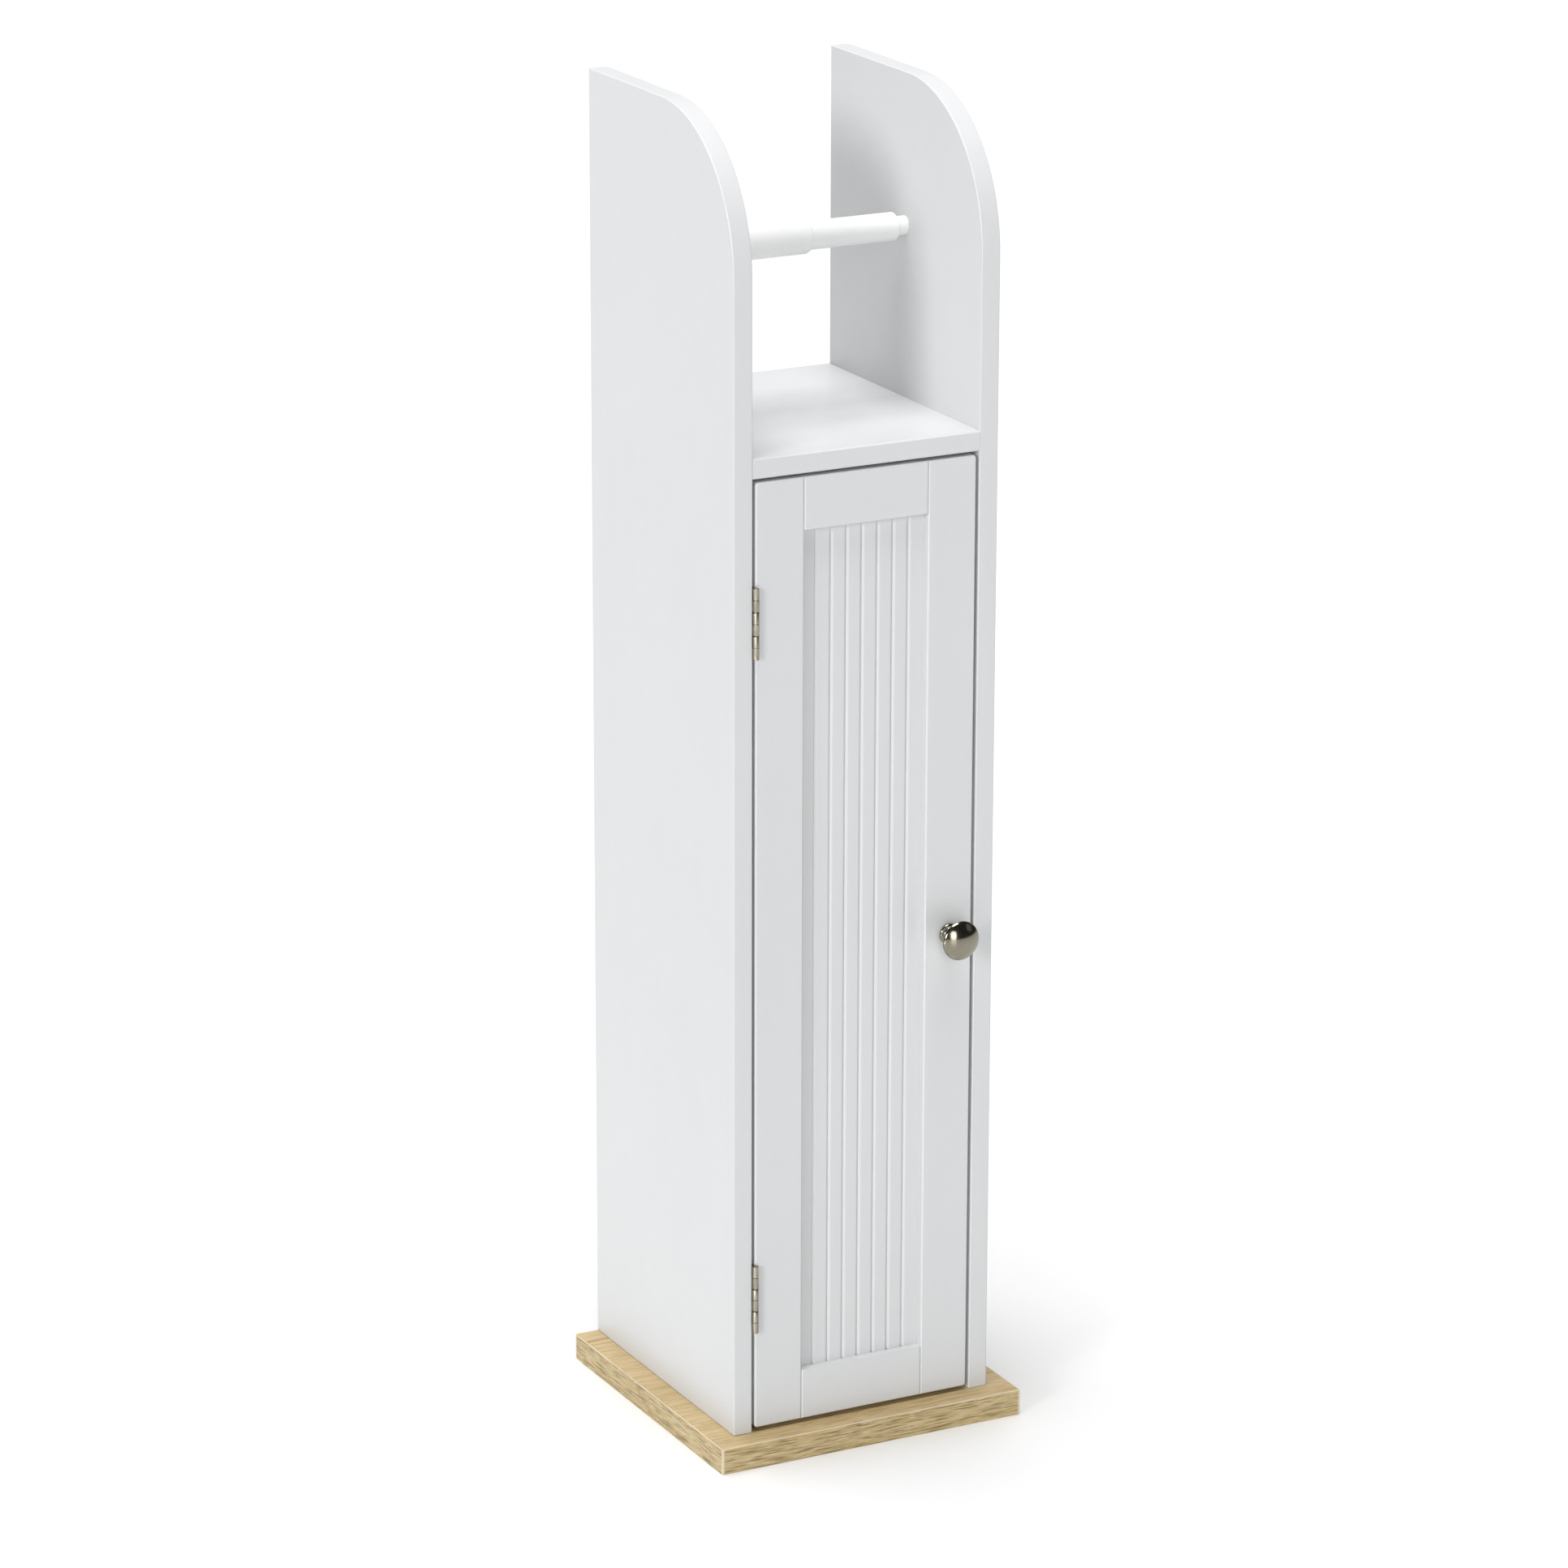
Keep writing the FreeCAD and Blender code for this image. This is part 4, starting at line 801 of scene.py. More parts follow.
def rounded(piece: Object, width: float, segments: int, angle: float = 35.0) -> Object:
    """Round a piece's sharp edges and keep its flat faces flat in the shading.

    Args:
        piece: The piece, with its modifiers so far.
        width: How wide the rounding is.
        segments: How many strips it has.
        angle: Edges that turn by less than this many degrees stay.

    Returns:
        The same piece, with the rounding in its mesh.
    """
    bevel = piece.modifiers.new("Rounding", "BEVEL")
    bevel.width = width
    bevel.segments = segments
    bevel.limit_method = "ANGLE"
    bevel.angle_limit = math.radians(angle)
    bevel.use_clamp_overlap = True
    bevel.miter_outer = "MITER_ARC"
    weights = piece.modifiers.new("Weights", "WEIGHTED_NORMAL")
    weights.weight = 100
    weights.keep_sharp = True
    return baked(piece)


def node_mesh(node: str) -> BMesh:
    """Copy a frame node's mesh, with the corners at one place joined.

    Args:
        node: The frame node.

    Returns:
        The copy, which the caller uses up.
    """
    bm = bmesh.new()
    bm.from_mesh(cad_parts[node].data)
    bmesh.ops.remove_doubles(bm, verts=bm.verts, dist=WELD)
    return bm


def softened(node: str, name: str, width: float, segments: int) -> Object:
    """Return a copy of a frame node's mesh with its edges softly rounded.

    Args:
        node: The frame node.
        name: Name of the copy.
        width: How wide the rounding is.
        segments: How many strips it has.

    Returns:
        The finished piece, which rides on nothing yet.
    """
    bm = node_mesh(node)
    bmesh.ops.dissolve_limit(bm, angle_limit=math.radians(FLAT_ANGLE), verts=bm.verts, edges=bm.edges)
    return rounded(object_from(bm, name), width, segments)


def carve(piece: Object, cutter: BMesh) -> None:
    """Cut a shape out of a piece.

    Args:
        piece: The piece.
        cutter: The shape that is taken away; it is used up here.
    """
    tool = object_from(cutter, "cutter", smooth=False)
    cut = piece.modifiers.new("Cut", "BOOLEAN")
    cut.operation = "DIFFERENCE"
    cut.solver = "EXACT"
    cut.object = tool
    baked(piece)
    bpy.data.objects.remove(tool)


def settle(piece: Object, look: Look, body: str, node: str) -> None:
    """Give a piece its look's material, hang it on its body and hide the frame node that it stands for.

    Args:
        piece: The finished piece.
        look: Its look.
        body: The body that it rides on.
        node: The frame node.
    """
    piece.data.materials.clear()
    piece.data.materials.append(look.material)
    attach(piece, body)
    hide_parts(node)
    log.info("%s: %d faces on %s", piece.name, len(piece.data.polygons), body)


def dress(node: str, name: str, width: float, look: Look, body: str = "cabinet", segments: int = 2) -> None:
    """Settle a softly rounded copy of a frame node in its place, by default on the cabinet."""
    settle(softened(node, name, width, segments), look, body, node)


# Geometry trees for what repeats

@dataclass
class PieceTree:
    """A geometry tree that makes one piece from named inputs; the kinds of tree below draw the piece."""

    name: ClassVar[str]
    kinds: ClassVar[dict[str, str]]
    tree: bpy.types.NodeTree | None = None
    inputs: dict[str, str] = field(default_factory=dict)

    def draw(self, sheet: NodeSheet, given: Mapping[str, Socket]) -> Socket:
        """Add the nodes that draw the piece and return what they make."""
        raise NotImplementedError

    def build(self) -> None:
        """Make the tree, which gives out one plain mesh in the given finish."""
        self.tree = bpy.data.node_groups.new(self.name, "GeometryNodeTree")
        face = self.tree.interface
        face.new_socket("Geometry", in_out="INPUT", socket_type="NodeSocketGeometry")
        for name, kind in {**self.kinds, "Finish": "Material"}.items():
            made = face.new_socket(name, in_out="INPUT", socket_type=f"NodeSocket{kind}")
            self.inputs[name] = made.identifier
        face.new_socket("Geometry", in_out="OUTPUT", socket_type="NodeSocketGeometry")
        sheet = NodeSheet(self.tree)
        given = sheet.add("NodeGroupInput").outputs
        drawn = self.draw(sheet, given)
        solid = sheet.add("GeometryNodeRealizeInstances", {"Geometry": drawn}).outputs[0]
        done = sheet.add("GeometryNodeSetMaterial", {"Geometry": solid, "Material": given["Finish"]})
        output = sheet.add("NodeGroupOutput")
        sheet.feed(output.inputs[0], done.outputs[0])

    def piece(self, name: str, values: Mapping[str, object], places: Iterable[Vector] = ()) -> Object:
        """Make one piece.

        Args:
            name: Name of the new piece.
            values: A value for each named input.
            places: Points that the tree starts from.

        Returns:
            The piece as one plain mesh.
        """
        if self.tree is None:
            self.build()
        mesh = bpy.data.meshes.new(name)
        mesh.from_pydata([tuple(place) for place in places], [], [])
        host = bpy.data.objects.new(name, mesh)
        bpy.context.scene.collection.objects.link(host)
        modifier = host.modifiers.new("Tree", "NODES")
        modifier.node_group = self.tree
        for key, given in values.items():
            modifier[self.inputs[key]] = given
        return baked(host)


class RepeatTree(PieceTree):
    """A geometry tree that sets copies of one piece on given points, each turned a little by chance."""

    name = "copies_on_points"
    kinds = {"Piece": "Object", "Facing": "Vector", "Turn": "Float"}
    seed = 7

    def draw(self, sheet: NodeSheet, given: Mapping[str, Socket]) -> Socket:
        """Set the copies on the points.

        Args:
            sheet: The tree's sheet of nodes.
            given: The tree's inputs by name.

        Returns:
            The socket with what is drawn.
        """
        points = sheet.add("GeometryNodeMeshToPoints", {"Mesh": given["Geometry"]}).outputs[0]
        piece = sheet.add("GeometryNodeObjectInfo", {"Object": given["Piece"]}).outputs["Geometry"]
        facing = sheet.add("FunctionNodeAlignRotationToVector", {"Vector": given["Facing"]}, axis="Z")
        placing = {"Points": points, "Instance": piece, "Rotation": facing.outputs["Rotation"]}
        copies = sheet.add("GeometryNodeInstanceOnPoints", placing).outputs["Instances"]
        chance = sheet.add("FunctionNodeRandomValue", {"Seed": self.seed}, data_type="FLOAT")
        spin = sheet.point(Z=sheet.math("MULTIPLY", chance.outputs[1], given["Turn"]))
        turning = {"Instances": copies, "Rotation": spin}
        return sheet.add("GeometryNodeRotateInstances", turning).outputs[0]


class SlatTree(PieceTree):
    """A geometry tree for a board whose front has evenly spaced V grooves."""

    name = "slat_field"
    sizes = ("Pitch", "Height", "Thickness", "Groove Width", "Groove Depth", "Grooved Half")
    kinds = {**dict.fromkeys(sizes, "Float"), "Columns": "Int", "Middle": "Vector"}
    steps_per_slat = 26

    def draw(self, sheet: NodeSheet, given: Mapping[str, Socket]) -> Socket:
        """Draw the board's front with its grooves and its flat rear.

        Args:
            sheet: The tree's sheet of nodes.
            given: The tree's inputs by name.

        Returns:
            The socket with what is drawn.
        """
        step = sheet.math("DIVIDE", given["Pitch"], float(self.steps_per_slat))
        grid = sheet.add("GeometryNodeMeshGrid", {
            "Size X": sheet.math("MULTIPLY", given["Columns"], step),
            "Size Y": given["Height"],
            "Vertices X": sheet.math("ADD", given["Columns"], 1.0),
            "Vertices Y": 2,
        }).outputs["Mesh"]
        standing = {"Geometry": grid, "Rotation": (math.radians(90.0), 0.0, 0.0)}
        upright = sheet.add("GeometryNodeTransform", standing).outputs[0]
        x = self.place(sheet, "X")
        distance = sheet.math("PINGPONG", x, sheet.math("DIVIDE", given["Pitch"], 2.0))
        share = sheet.math("DIVIDE", distance, sheet.math("DIVIDE", given["Groove Width"], 2.0))
        hollow = sheet.spread(share, 0.0, 1.0, given["Groove Depth"], 0.0)
        inside = sheet.math("LESS_THAN", sheet.math("ABSOLUTE", x), given["Grooved Half"])
        grooved = self.moved(sheet, upright, sheet.math("MULTIPLY", hollow, inside))
        level = self.moved(sheet, grooved, sheet.math("MULTIPLY", self.place(sheet, "Y"), -1.0))
        rear = self.moved(sheet, level, given["Thickness"])
        rear_out = sheet.add("GeometryNodeFlipFaces", {"Mesh": rear}).outputs[0]
        both = sheet.add("GeometryNodeJoinGeometry")
        for part in (rear_out, grooved):
            sheet.feed(both.inputs[0], part)
        moving = {"Geometry": both.outputs[0], "Translation": given["Middle"]}
        return sheet.add("GeometryNodeTransform", moving).outputs[0]

    @staticmethod
    def place(sheet: NodeSheet, axis: str) -> Socket:
        """Return where a point of the mesh lies on one axis."""
        spot = sheet.add("GeometryNodeInputPosition").outputs[0]
        return sheet.add("ShaderNodeSeparateXYZ", {0: spot}).outputs[axis]

    @staticmethod
    def moved(sheet: NodeSheet, board: Socket, depth: Socket) -> Socket:
        """Return a board with its points moved back by a depth."""
        moving = {"Geometry": board, "Offset": sheet.point(Y=depth)}
        return sheet.add("GeometryNodeSetPosition", moving).outputs[0]

    def board(self, name: str, values: Mapping[str, object]) -> Object:
        """Make a grooved board with closed sides.

        Args:
            name: Its name.
            values: A value for each named input.

        Returns:
            The board as one plain mesh.
        """
        host = self.piece(name, values)
        bm = bmesh.new()
        bm.from_mesh(host.data)
        rims = [edge for edge in bm.edges if edge.is_boundary]
        bmesh.ops.bridge_loops(bm, edges=rims)
        bmesh.ops.recalc_face_normals(bm, faces=bm.faces)
        bm.to_mesh(host.data)
        bm.free()
        return host


class CoilTree(PieceTree):
    """A geometry tree for a round wire wound in an even coil along X."""

    name = "wire_coil"
    sizes = ("Radius", "Wire Radius", "Length", "Turns")
    kinds = {**dict.fromkeys(sizes, "Float"), "Start": "Vector"}
    steps_per_turn = 24
    wire_steps = 10

    def draw(self, sheet: NodeSheet, given: Mapping[str, Socket]) -> Socket:
        """Wind the wire and lay the coil along X.

        Args:
            sheet: The tree's sheet of nodes.
            given: The tree's inputs by name.

        Returns:
            The socket with what is drawn.
        """
        radius = sheet.math("SUBTRACT", given["Radius"], given["Wire Radius"])
        spiral = sheet.add("GeometryNodeCurveSpiral", {
            "Resolution": self.steps_per_turn,
            "Rotations": given["Turns"],
            "Start Radius": radius,
            "End Radius": radius,
            "Height": given["Length"],
        }).outputs[0]
        ring = {"Resolution": self.wire_steps, "Radius": given["Wire Radius"]}
        wire = sheet.add("GeometryNodeCurvePrimitiveCircle", ring).outputs[0]
        drawing = {"Curve": spiral, "Profile Curve": wire, "Fill Caps": True}
        return sheet.add("GeometryNodeTransform", {
            "Geometry": sheet.add("GeometryNodeCurveToMesh", drawing).outputs[0],
            "Rotation": (0.0, math.radians(90.0), 0.0),
            "Translation": given["Start"],
        }).outputs[0]


REPEATS = RepeatTree()


# Screws

@dataclass
class Screw:
    """One kind of screw, countersunk or flat-headed, with a crossed recess."""

    radius: float
    head_radius: float
    head_height: float
    countersunk: bool = True
    rim_share: float = 0.08
    rim_top_share: float = 0.97
    side_share: float = 0.45
    crown_share: float = 0.15
    crown_radius_share: float = 0.9
    crown_top_share: float = 0.7
    recess_share: float = 0.62
    recess_width_share: float = 0.2
    recess_depth_share: float = 0.7
    recess_taper: float = 0.45
    steps: int = 24

    def fit(self, name: str, node: str, facing: Vector, look: Look, body: str) -> None:
        """Set a screw in the place of each solid of a frame node.

        Args:
            name: Name of the piece that the screws make.
            node: The frame node.
            facing: Where the heads point.
            look: Their look.
            body: The body that they ride on.
        """
        boxes = groups_of(node)
        low, high = boxes[0]
        fasten(name, self.pattern(abs((high - low).dot(facing))), boxes, facing, look, body, node)

    def pattern(self, length: float) -> Object:
        """Make a screw along +Z, with the top of its head at the origin.

        Args:
            length: Its whole length.

        Returns:
            The screw, which rides on nothing.
        """
        shank = [(-length, 0.0), (2 * self.radius - length, self.radius)]
        profile = [*shank, *self.head(), (0.0, 0.0)]
        screw = turned_piece("screw_pattern", profile, Axis.Z, (0.0, 0.0), self.steps)
        carve(screw, self.recess())
        screw.data.set_sharp_from_angle(angle=math.radians(CREASE_ANGLE))
        return screw

    def head(self) -> list[Point2]:
        """Draw the head's half outline, from the shank up to the top's edge.

        Returns:
            Points as (height, radius).
        """
        height, radius = self.head_height, self.head_radius
        neck = (-height, self.radius)
        if self.countersunk:
            return [neck, (-self.rim_share * height, radius), (0.0, radius * self.rim_top_share)]
        side = [(-height, radius), (-self.side_share * height, radius)]
        crown = (-self.crown_share * height, radius * self.crown_radius_share)
        return [neck, *side, crown, (0.0, radius * self.crown_top_share)]

    def recess(self) -> BMesh:
        """Draw the crossed recess, narrower at its foot.

        Returns:
            The shape to cut out of the head.
        """
        reach = self.head_radius * self.recess_share
        half = reach * self.recess_width_share
        depth = self.head_height * self.recess_depth_share
        cross = []
        for cos, sin in ((1, 0), (0, 1), (-1, 0), (0, -1)):
            for along, across in ((reach, -half), (reach, half), (half, half)):
                cross.append((along * cos - across * sin, along * sin + across * cos))
        bm = bmesh.new()
        prism_mesh(bm, cross, Axis.Z, -depth, depth)
        for corner in bm.verts:
            if corner.co.z < 0:
                corner.co.x *= self.recess_taper
                corner.co.y *= self.recess_taper
        return bm


def node_middle(node: str) -> Vector:
    """Return the middle of a frame node's box."""
    low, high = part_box(node)
    return (low + high) / 2


def groups_of(node: str) -> list[Box]:
    """Find the box of each separate solid of a frame node.

    Args:
        node: The frame node.

    Returns:
        The lowest and the highest corner of each solid, sorted by place.
    """
    bm = node_mesh(node)
    boxes = []
    left = set(bm.verts)
    while left:
        front = [left.pop()]
        seen = list(front)
        while front:
            for edge in front.pop().link_edges:
                for corner in edge.verts:
                    if corner in left:
                        left.remove(corner)
                        front.append(corner)
                        seen.append(corner)
        lows, highs = [Vector(end(corner.co[i] for corner in seen) for i in range(3)) for end in (min, max)]
        boxes.append((lows, highs))
    bm.free()
    return sorted(boxes, key=lambda box: tuple(round(number, 4) for number in box[0]))


def side_middle(box: Box, facing: Vector) -> Vector:
    """Find the middle of one side of a box.

    Args:
        box: Its lowest and its highest corner.
        facing: Where the side faces, along one axis.

    Returns:
        The middle of the side.
    """
    low, high = box
    place = (low + high) / 2
    for index, way in enumerate(facing):
        if way:
            place[index] = high[index] if way > 0 else low[index]
    return place


def fasten(name: str, pattern: Object, boxes: Iterable[Box], facing: Vector, look: Look, body: str,
           node: str, turn: float = math.tau) -> None:
    """Set a fastener in each of a node's boxes, as one piece, and use up the pattern.

    Args:
        name: Name of the piece.
        pattern: The fastener, drawn along +Z with its outer end at the origin.
        boxes: The boxes that the fasteners fill.
        facing: Where their outer ends point.
        look: Their look.
        body: The body that they ride on.
        node: The frame node that they stand for.
        turn: The largest angle that one is turned by about its axis, in radians.
    """
    values = {"Piece": pattern, "Facing": tuple(facing), "Turn": turn, "Finish": look.material}
    piece = REPEATS.piece(name, values, [side_middle(box, facing) for box in boxes])
    bpy.data.objects.remove(pattern)
    settle(piece, look, body, node)


# Base

@dataclass
class Base:
    """Oak-look base board with its edge bands and the screws seen from below."""

    looks: dict[str, Look]
    band_round: float = 0.0005
    screw_head_height: float = 0.002
    screw_head_radius: float = 0.004
    screw_radius: float = 0.002

    def build(self) -> None:
        """Make the board's edge bands and screws, and dress the board."""
        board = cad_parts["base_board"]
        foil = self.looks["oak_foil"]
        board.data.materials.clear()
        board.data.materials.append(foil.material)
        log.info("base_board: dressed in place")
        for side in ("front", "back", "left", "right"):
            look = self.looks["oak_band_front" if side in ("front", "back") else "oak_band_side"]
            dress(f"base_edge_band_{side}", f"band_{side}", self.band_round, look, segments=3)
        screw = Screw(self.screw_radius, self.screw_head_radius, self.screw_head_height)
        down = Axis.Z.unit(-1.0)
        screw.fit("base_screw_heads", "base_screws", down, self.looks["zinc_plate"], "cabinet")


# Side panels, shelves and what joins them

@dataclass
class Carcass:
    """Side panels, roll shelf, back board, loose shelf and the fittings between them."""

    looks: dict[str, Look]
    corner_radius: float = 0.090
    arc_steps: int = 48
    edge_round: float = 0.0007
    edge_segments: int = 4
    edge_angle: float = 60.0
    shelf_round: float = 0.0006
    back_round: float = 0.0002
    dowel_round: float = 0.0004
    cam_round: float = 0.0003
    bolt_round: float = 0.0002
    socket_radius: float = 0.00585
    socket_depth: float = 0.006
    socket_steps: int = 48
    pin_radius: float = 0.0025
    pin_nose_share: float = 0.3
    pin_collar_radius: float = 0.0036
    pin_collar_thickness: float = 0.001
    pin_depth: float = 0.0081
    pin_steps: int = 32

    def build(self) -> None:
        """Make every piece of the carcass."""
        looks = self.looks
        for side in ("left", "right"):
            self.panel(side)
        dress("roll_shelf", "bay_shelf", self.shelf_round, looks["white_shelf_paint"], segments=3)
        dress("inner_shelf", "loose_shelf", self.shelf_round, looks["white_paint"], segments=3)
        dress("back_panel", "back_board", self.back_round, looks["white_back_foil"])
        self.pins()
        dress("shelf_dowels", "beech_dowels", self.dowel_round, looks["beech_dowel"])
        dress("cam_locks", "cam_discs", self.cam_round, looks["zinc_plate"])
        dress("cam_bolts", "cam_shanks", self.bolt_round, looks["zinc_plate"])

    def panel(self, side: str) -> None:
        """Make one side panel with its arc and its socket for the roller.

        Args:
            side: The panel's side, left or right.
        """
        node = f"side_panel_{side}"
        low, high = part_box(node)
        corner = (low.y + self.corner_radius, high.z - self.corner_radius)
        outline = [(low.y, low.z), (high.y, low.z), (high.y, high.z)]
        outline += arc(corner, self.corner_radius, 90.0, 180.0, self.arc_steps)
        bm = bmesh.new()
        prism_mesh(bm, outline, Axis.X, low.x, high.x)
        plain = object_from(bm, f"panel_{side}")
        panel = rounded(plain, self.edge_round, self.edge_segments, self.edge_angle)
        inner = high.x if side == "left" else low.x
        start, end = inner - self.socket_depth, inner + self.socket_depth
        hole = [(start, 0.0), (start, self.socket_radius), (end, self.socket_radius), (end, 0.0)]
        axis = node_middle("roller_spring")
        cutter = bmesh.new()
        lathe_mesh(cutter, hole, Axis.X, (axis.y, axis.z), self.socket_steps)
        carve(panel, cutter)
        settle(panel, self.looks["white_paint"], "cabinet", node)

    def pins(self) -> None:
        """Make the shelf pins, each with a thin collar against the panel."""
        boxes = groups_of("shelf_pins")
        for side, facing in (("left", 1.0), ("right", -1.0)):
            mine = [box for box in boxes if (box[0].x + box[1].x) * facing < 0]
            length = mine[0][1].x - mine[0][0].x
            nose = self.pin_radius * self.pin_nose_share
            seat = self.pin_depth - length
            collar = seat + self.pin_collar_thickness
            profile = [
                (-length, 0.0), (-length, self.pin_radius), (seat, self.pin_radius),
                (seat, self.pin_collar_radius), (collar, self.pin_collar_radius),
                (collar, self.pin_radius), (-nose, self.pin_radius),
                (0.0, self.pin_radius - nose), (0.0, 0.0),
            ]
            pattern = turned_piece("pin_pattern", profile, Axis.Z, (0.0, 0.0), self.pin_steps, CREASE_ANGLE)
            fasten(f"shelf_pins_{side}", pattern, mine, Axis.X.unit(facing),
                   self.looks["zinc_plate"], "cabinet", "shelf_pins", turn=0.0)


# Door

@dataclass
class Door:
    """Jointed frame with a slatted board between its members."""

    looks: dict[str, Look]
    member_round: float = 0.0004
    slat_count: int = 8
    groove_width: float = 0.0026
    groove_depth: float = 0.0009
    groove_crease: float = 60.0

    def build(self) -> None:
        """Make the stiles, the rails and the slatted board."""
        for member in ("stile_left", "stile_right", "rail_top", "rail_bottom"):
            name = f"frame_{member}"
            dress(f"door_{member}", name, self.member_round, self.looks["white_paint"], "door", segments=3)
        self.slats()

    def slats(self) -> None:
        """Make the slatted board from its geometry tree."""
        low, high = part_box("door_slat_panel")
        middle = (low + high) / 2
        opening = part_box("door_stile_right")[0].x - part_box("door_stile_left")[1].x
        pitch = opening / self.slat_count
        tree = SlatTree()
        step = pitch / tree.steps_per_slat
        board = tree.board("slat_board", {
            "Pitch": pitch,
            "Height": high.z - low.z,
            "Thickness": high.y - low.y,
            "Groove Width": self.groove_width,
            "Groove Depth": self.groove_depth,
            "Grooved Half": opening / 2 - pitch / 2,
            "Columns": 2 * int((high.x - low.x) / 2 / step),
            "Middle": (middle.x, low.y, middle.z),
            "Finish": self.looks["white_paint"].material,
        })
        board.data.polygons.foreach_set("use_smooth", [True] * len(board.data.polygons))
        board.data.set_sharp_from_angle(angle=math.radians(self.groove_crease))
        settle(board, self.looks["white_paint"], "door", "door_slat_panel")


# Hinges

@dataclass
class Hinges:
    """Both butt hinges: leaves with rolled knuckles, pins with domed ends, and screws."""

    looks: dict[str, Look]
    leaf_round: float = 0.00014
    knuckle_count: int = 6
    wide_gap: float = 0.0008
    gap_reach: float = 0.0006
    gap_share: float = 0.8
    pin_radius: float = 0.0009
    pin_dome_share: float = 0.4
    pin_dome_steps: int = 4
    pin_steps: int = 32
    screw_radius: float = 0.00125
    screw_head_height: float = 0.0008

    def build(self) -> None:
        """Make every piece of both hinges."""
        for place in ("lower", "upper"):
            for body in ("cabinet", "door"):
                node = f"hinge_leaf_{body}_{place}"
                piece = softened(node, f"leaf_{body}_{place}", self.leaf_round, 2)
                self.part_knuckles(piece, node)
                settle(piece, self.looks["hinge_nickel"], body, node)
            self.pin(place)
        screw = Screw(self.screw_radius, self.screw_radius + self.screw_head_height, self.screw_head_height)
        for body, facing in (("cabinet", 1.0), ("door", -1.0)):
            way = Axis.X.unit(facing)
            screw.fit(f"leaf_screws_{body}", f"hinge_screws_{body}", way, self.looks["hinge_nickel"], body)

    def part_knuckles(self, piece: Object, node: str) -> None:
        """Widen the gaps after every second knuckle, where the leaf's own knuckles sit a little short.

        Args:
            piece: The leaf.
            node: The frame node that it stands for.
        """
        low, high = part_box(node)
        pitch = (high.z - low.z) / self.knuckle_count
        for turn in range(2, self.knuckle_count, 2):
            middle = low.z + turn * pitch
            for corner in piece.data.vertices:
                above = corner.co.z - middle
                if abs(above) < self.gap_reach and corner.co.y < DOOR_FRONT:
                    corner.co.z += math.copysign(self.wide_gap / 2 - abs(above), above) * self.gap_share

    def pin(self, place: str) -> None:
        """Make one hinge pin with domed ends.

        Args:
            place: The hinge's place, lower or upper.
        """
        node = f"hinge_pin_{place}"
        low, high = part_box(node)
        middle = node_middle(node)
        dome = self.pin_radius * self.pin_dome_share
        bend = arc((0.0, 0.0), 1.0, 0.0, 90.0, self.pin_dome_steps)
        lower = [(low.z + dome * (1.0 - cos), self.pin_radius * sin) for cos, sin in bend]
        upper = [(low.z + high.z - height, radius) for height, radius in reversed(lower)]
        pin = turned_piece(f"pin_{place}", [*lower, *upper], Axis.Z, (middle.x, middle.y), self.pin_steps)
        settle(pin, self.looks["hinge_nickel"], "cabinet", node)


# Knob

@dataclass
class Knob:
    """Polished knob: two beads at the foot, a drawn-in neck and a wide domed head."""

    looks: dict[str, Look]
    foot_radius: float = 0.0064
    foot_height: float = 0.0032
    ring_radius: float = 0.0058
    ring_height: float = 0.0028
    neck_radius: float = 0.0042
    head_radius: float = 0.0119
    rim_height: float = 0.0012
    dome_rise: float = 0.0047
    flare_start: float = 0.25
    flare_power: float = 0.8
    screw_radius: float = 0.002
    steps: int = 96
    bead_steps: int = 12
    flare_steps: int = 12
    edge_steps: int = 8
    dome_steps: int = 20

    def build(self) -> None:
        """Make the knob and its screw."""
        low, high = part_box("knob")
        middle = node_middle("knob")
        profile = [(high.y - height, radius) for height, radius in self.profile(high.y - low.y)]
        knob = turned_piece("round_knob", profile, Axis.Y, (middle.x, middle.z), self.steps, sharp=50.0)
        settle(knob, self.looks["knob_nickel"], "door", "knob")
        self.screw()

    def profile(self, length: float) -> list[Point2]:
        """Draw the knob's half outline.

        Args:
            length: How far the knob stands out from the door.

        Returns:
            Points as (height above the door, radius).
        """
        foot = self.bead(0.0, self.foot_height, self.foot_radius)
        ring = self.bead(self.foot_height, self.ring_height, self.ring_radius)
        neck = self.foot_height + self.ring_height
        rise = length - self.dome_rise - self.rim_height - neck
        reach = self.head_radius - self.neck_radius
        flare = [(neck, self.neck_radius)]
        for step in range(self.flare_steps):
            share = step / self.flare_steps
            height = neck + rise * (self.flare_start + (1.0 - self.flare_start) * share)
            curve = (1.0 - math.cos(share * math.pi / 2)) ** self.flare_power
            flare.append((height, self.neck_radius + reach * curve))
        half_rim = self.rim_height / 2
        rim_middle = (length - self.dome_rise - half_rim, self.head_radius - half_rim)
        edge = arc(rim_middle, half_rim, 150.0, 60.0, self.edge_steps)
        sphere = (self.head_radius ** 2 + self.dome_rise ** 2) / (2 * self.dome_rise)
        edge_angle = math.degrees(math.asin(self.head_radius / sphere))
        dome = arc((length - sphere, 0.0), sphere, edge_angle, 0.0, self.dome_steps)
        return [(0.0, 0.0), *foot, *ring, *flare, *edge, *dome[1:]]

    def bead(self, start: float, height: float, radius: float) -> list[Point2]:
        """Return the half outline of a bead, round on its outside."""
        bend = height / 2
        return arc((start + bend, radius - bend), bend, 180.0, 0.0, self.bead_steps)

    def screw(self) -> None:
        """Make the flat-headed screw behind the knob."""
        low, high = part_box("knob_screw")
        head_height = high.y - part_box("door_stile_right")[1].y
        screw = Screw(self.screw_radius, (high.x - low.x) / 2, head_height, countersunk=False)
        screw.fit("knob_screw_head", "knob_screw", Axis.Y.unit(), self.looks["zinc_plate"], "door")


# Magnetic catch

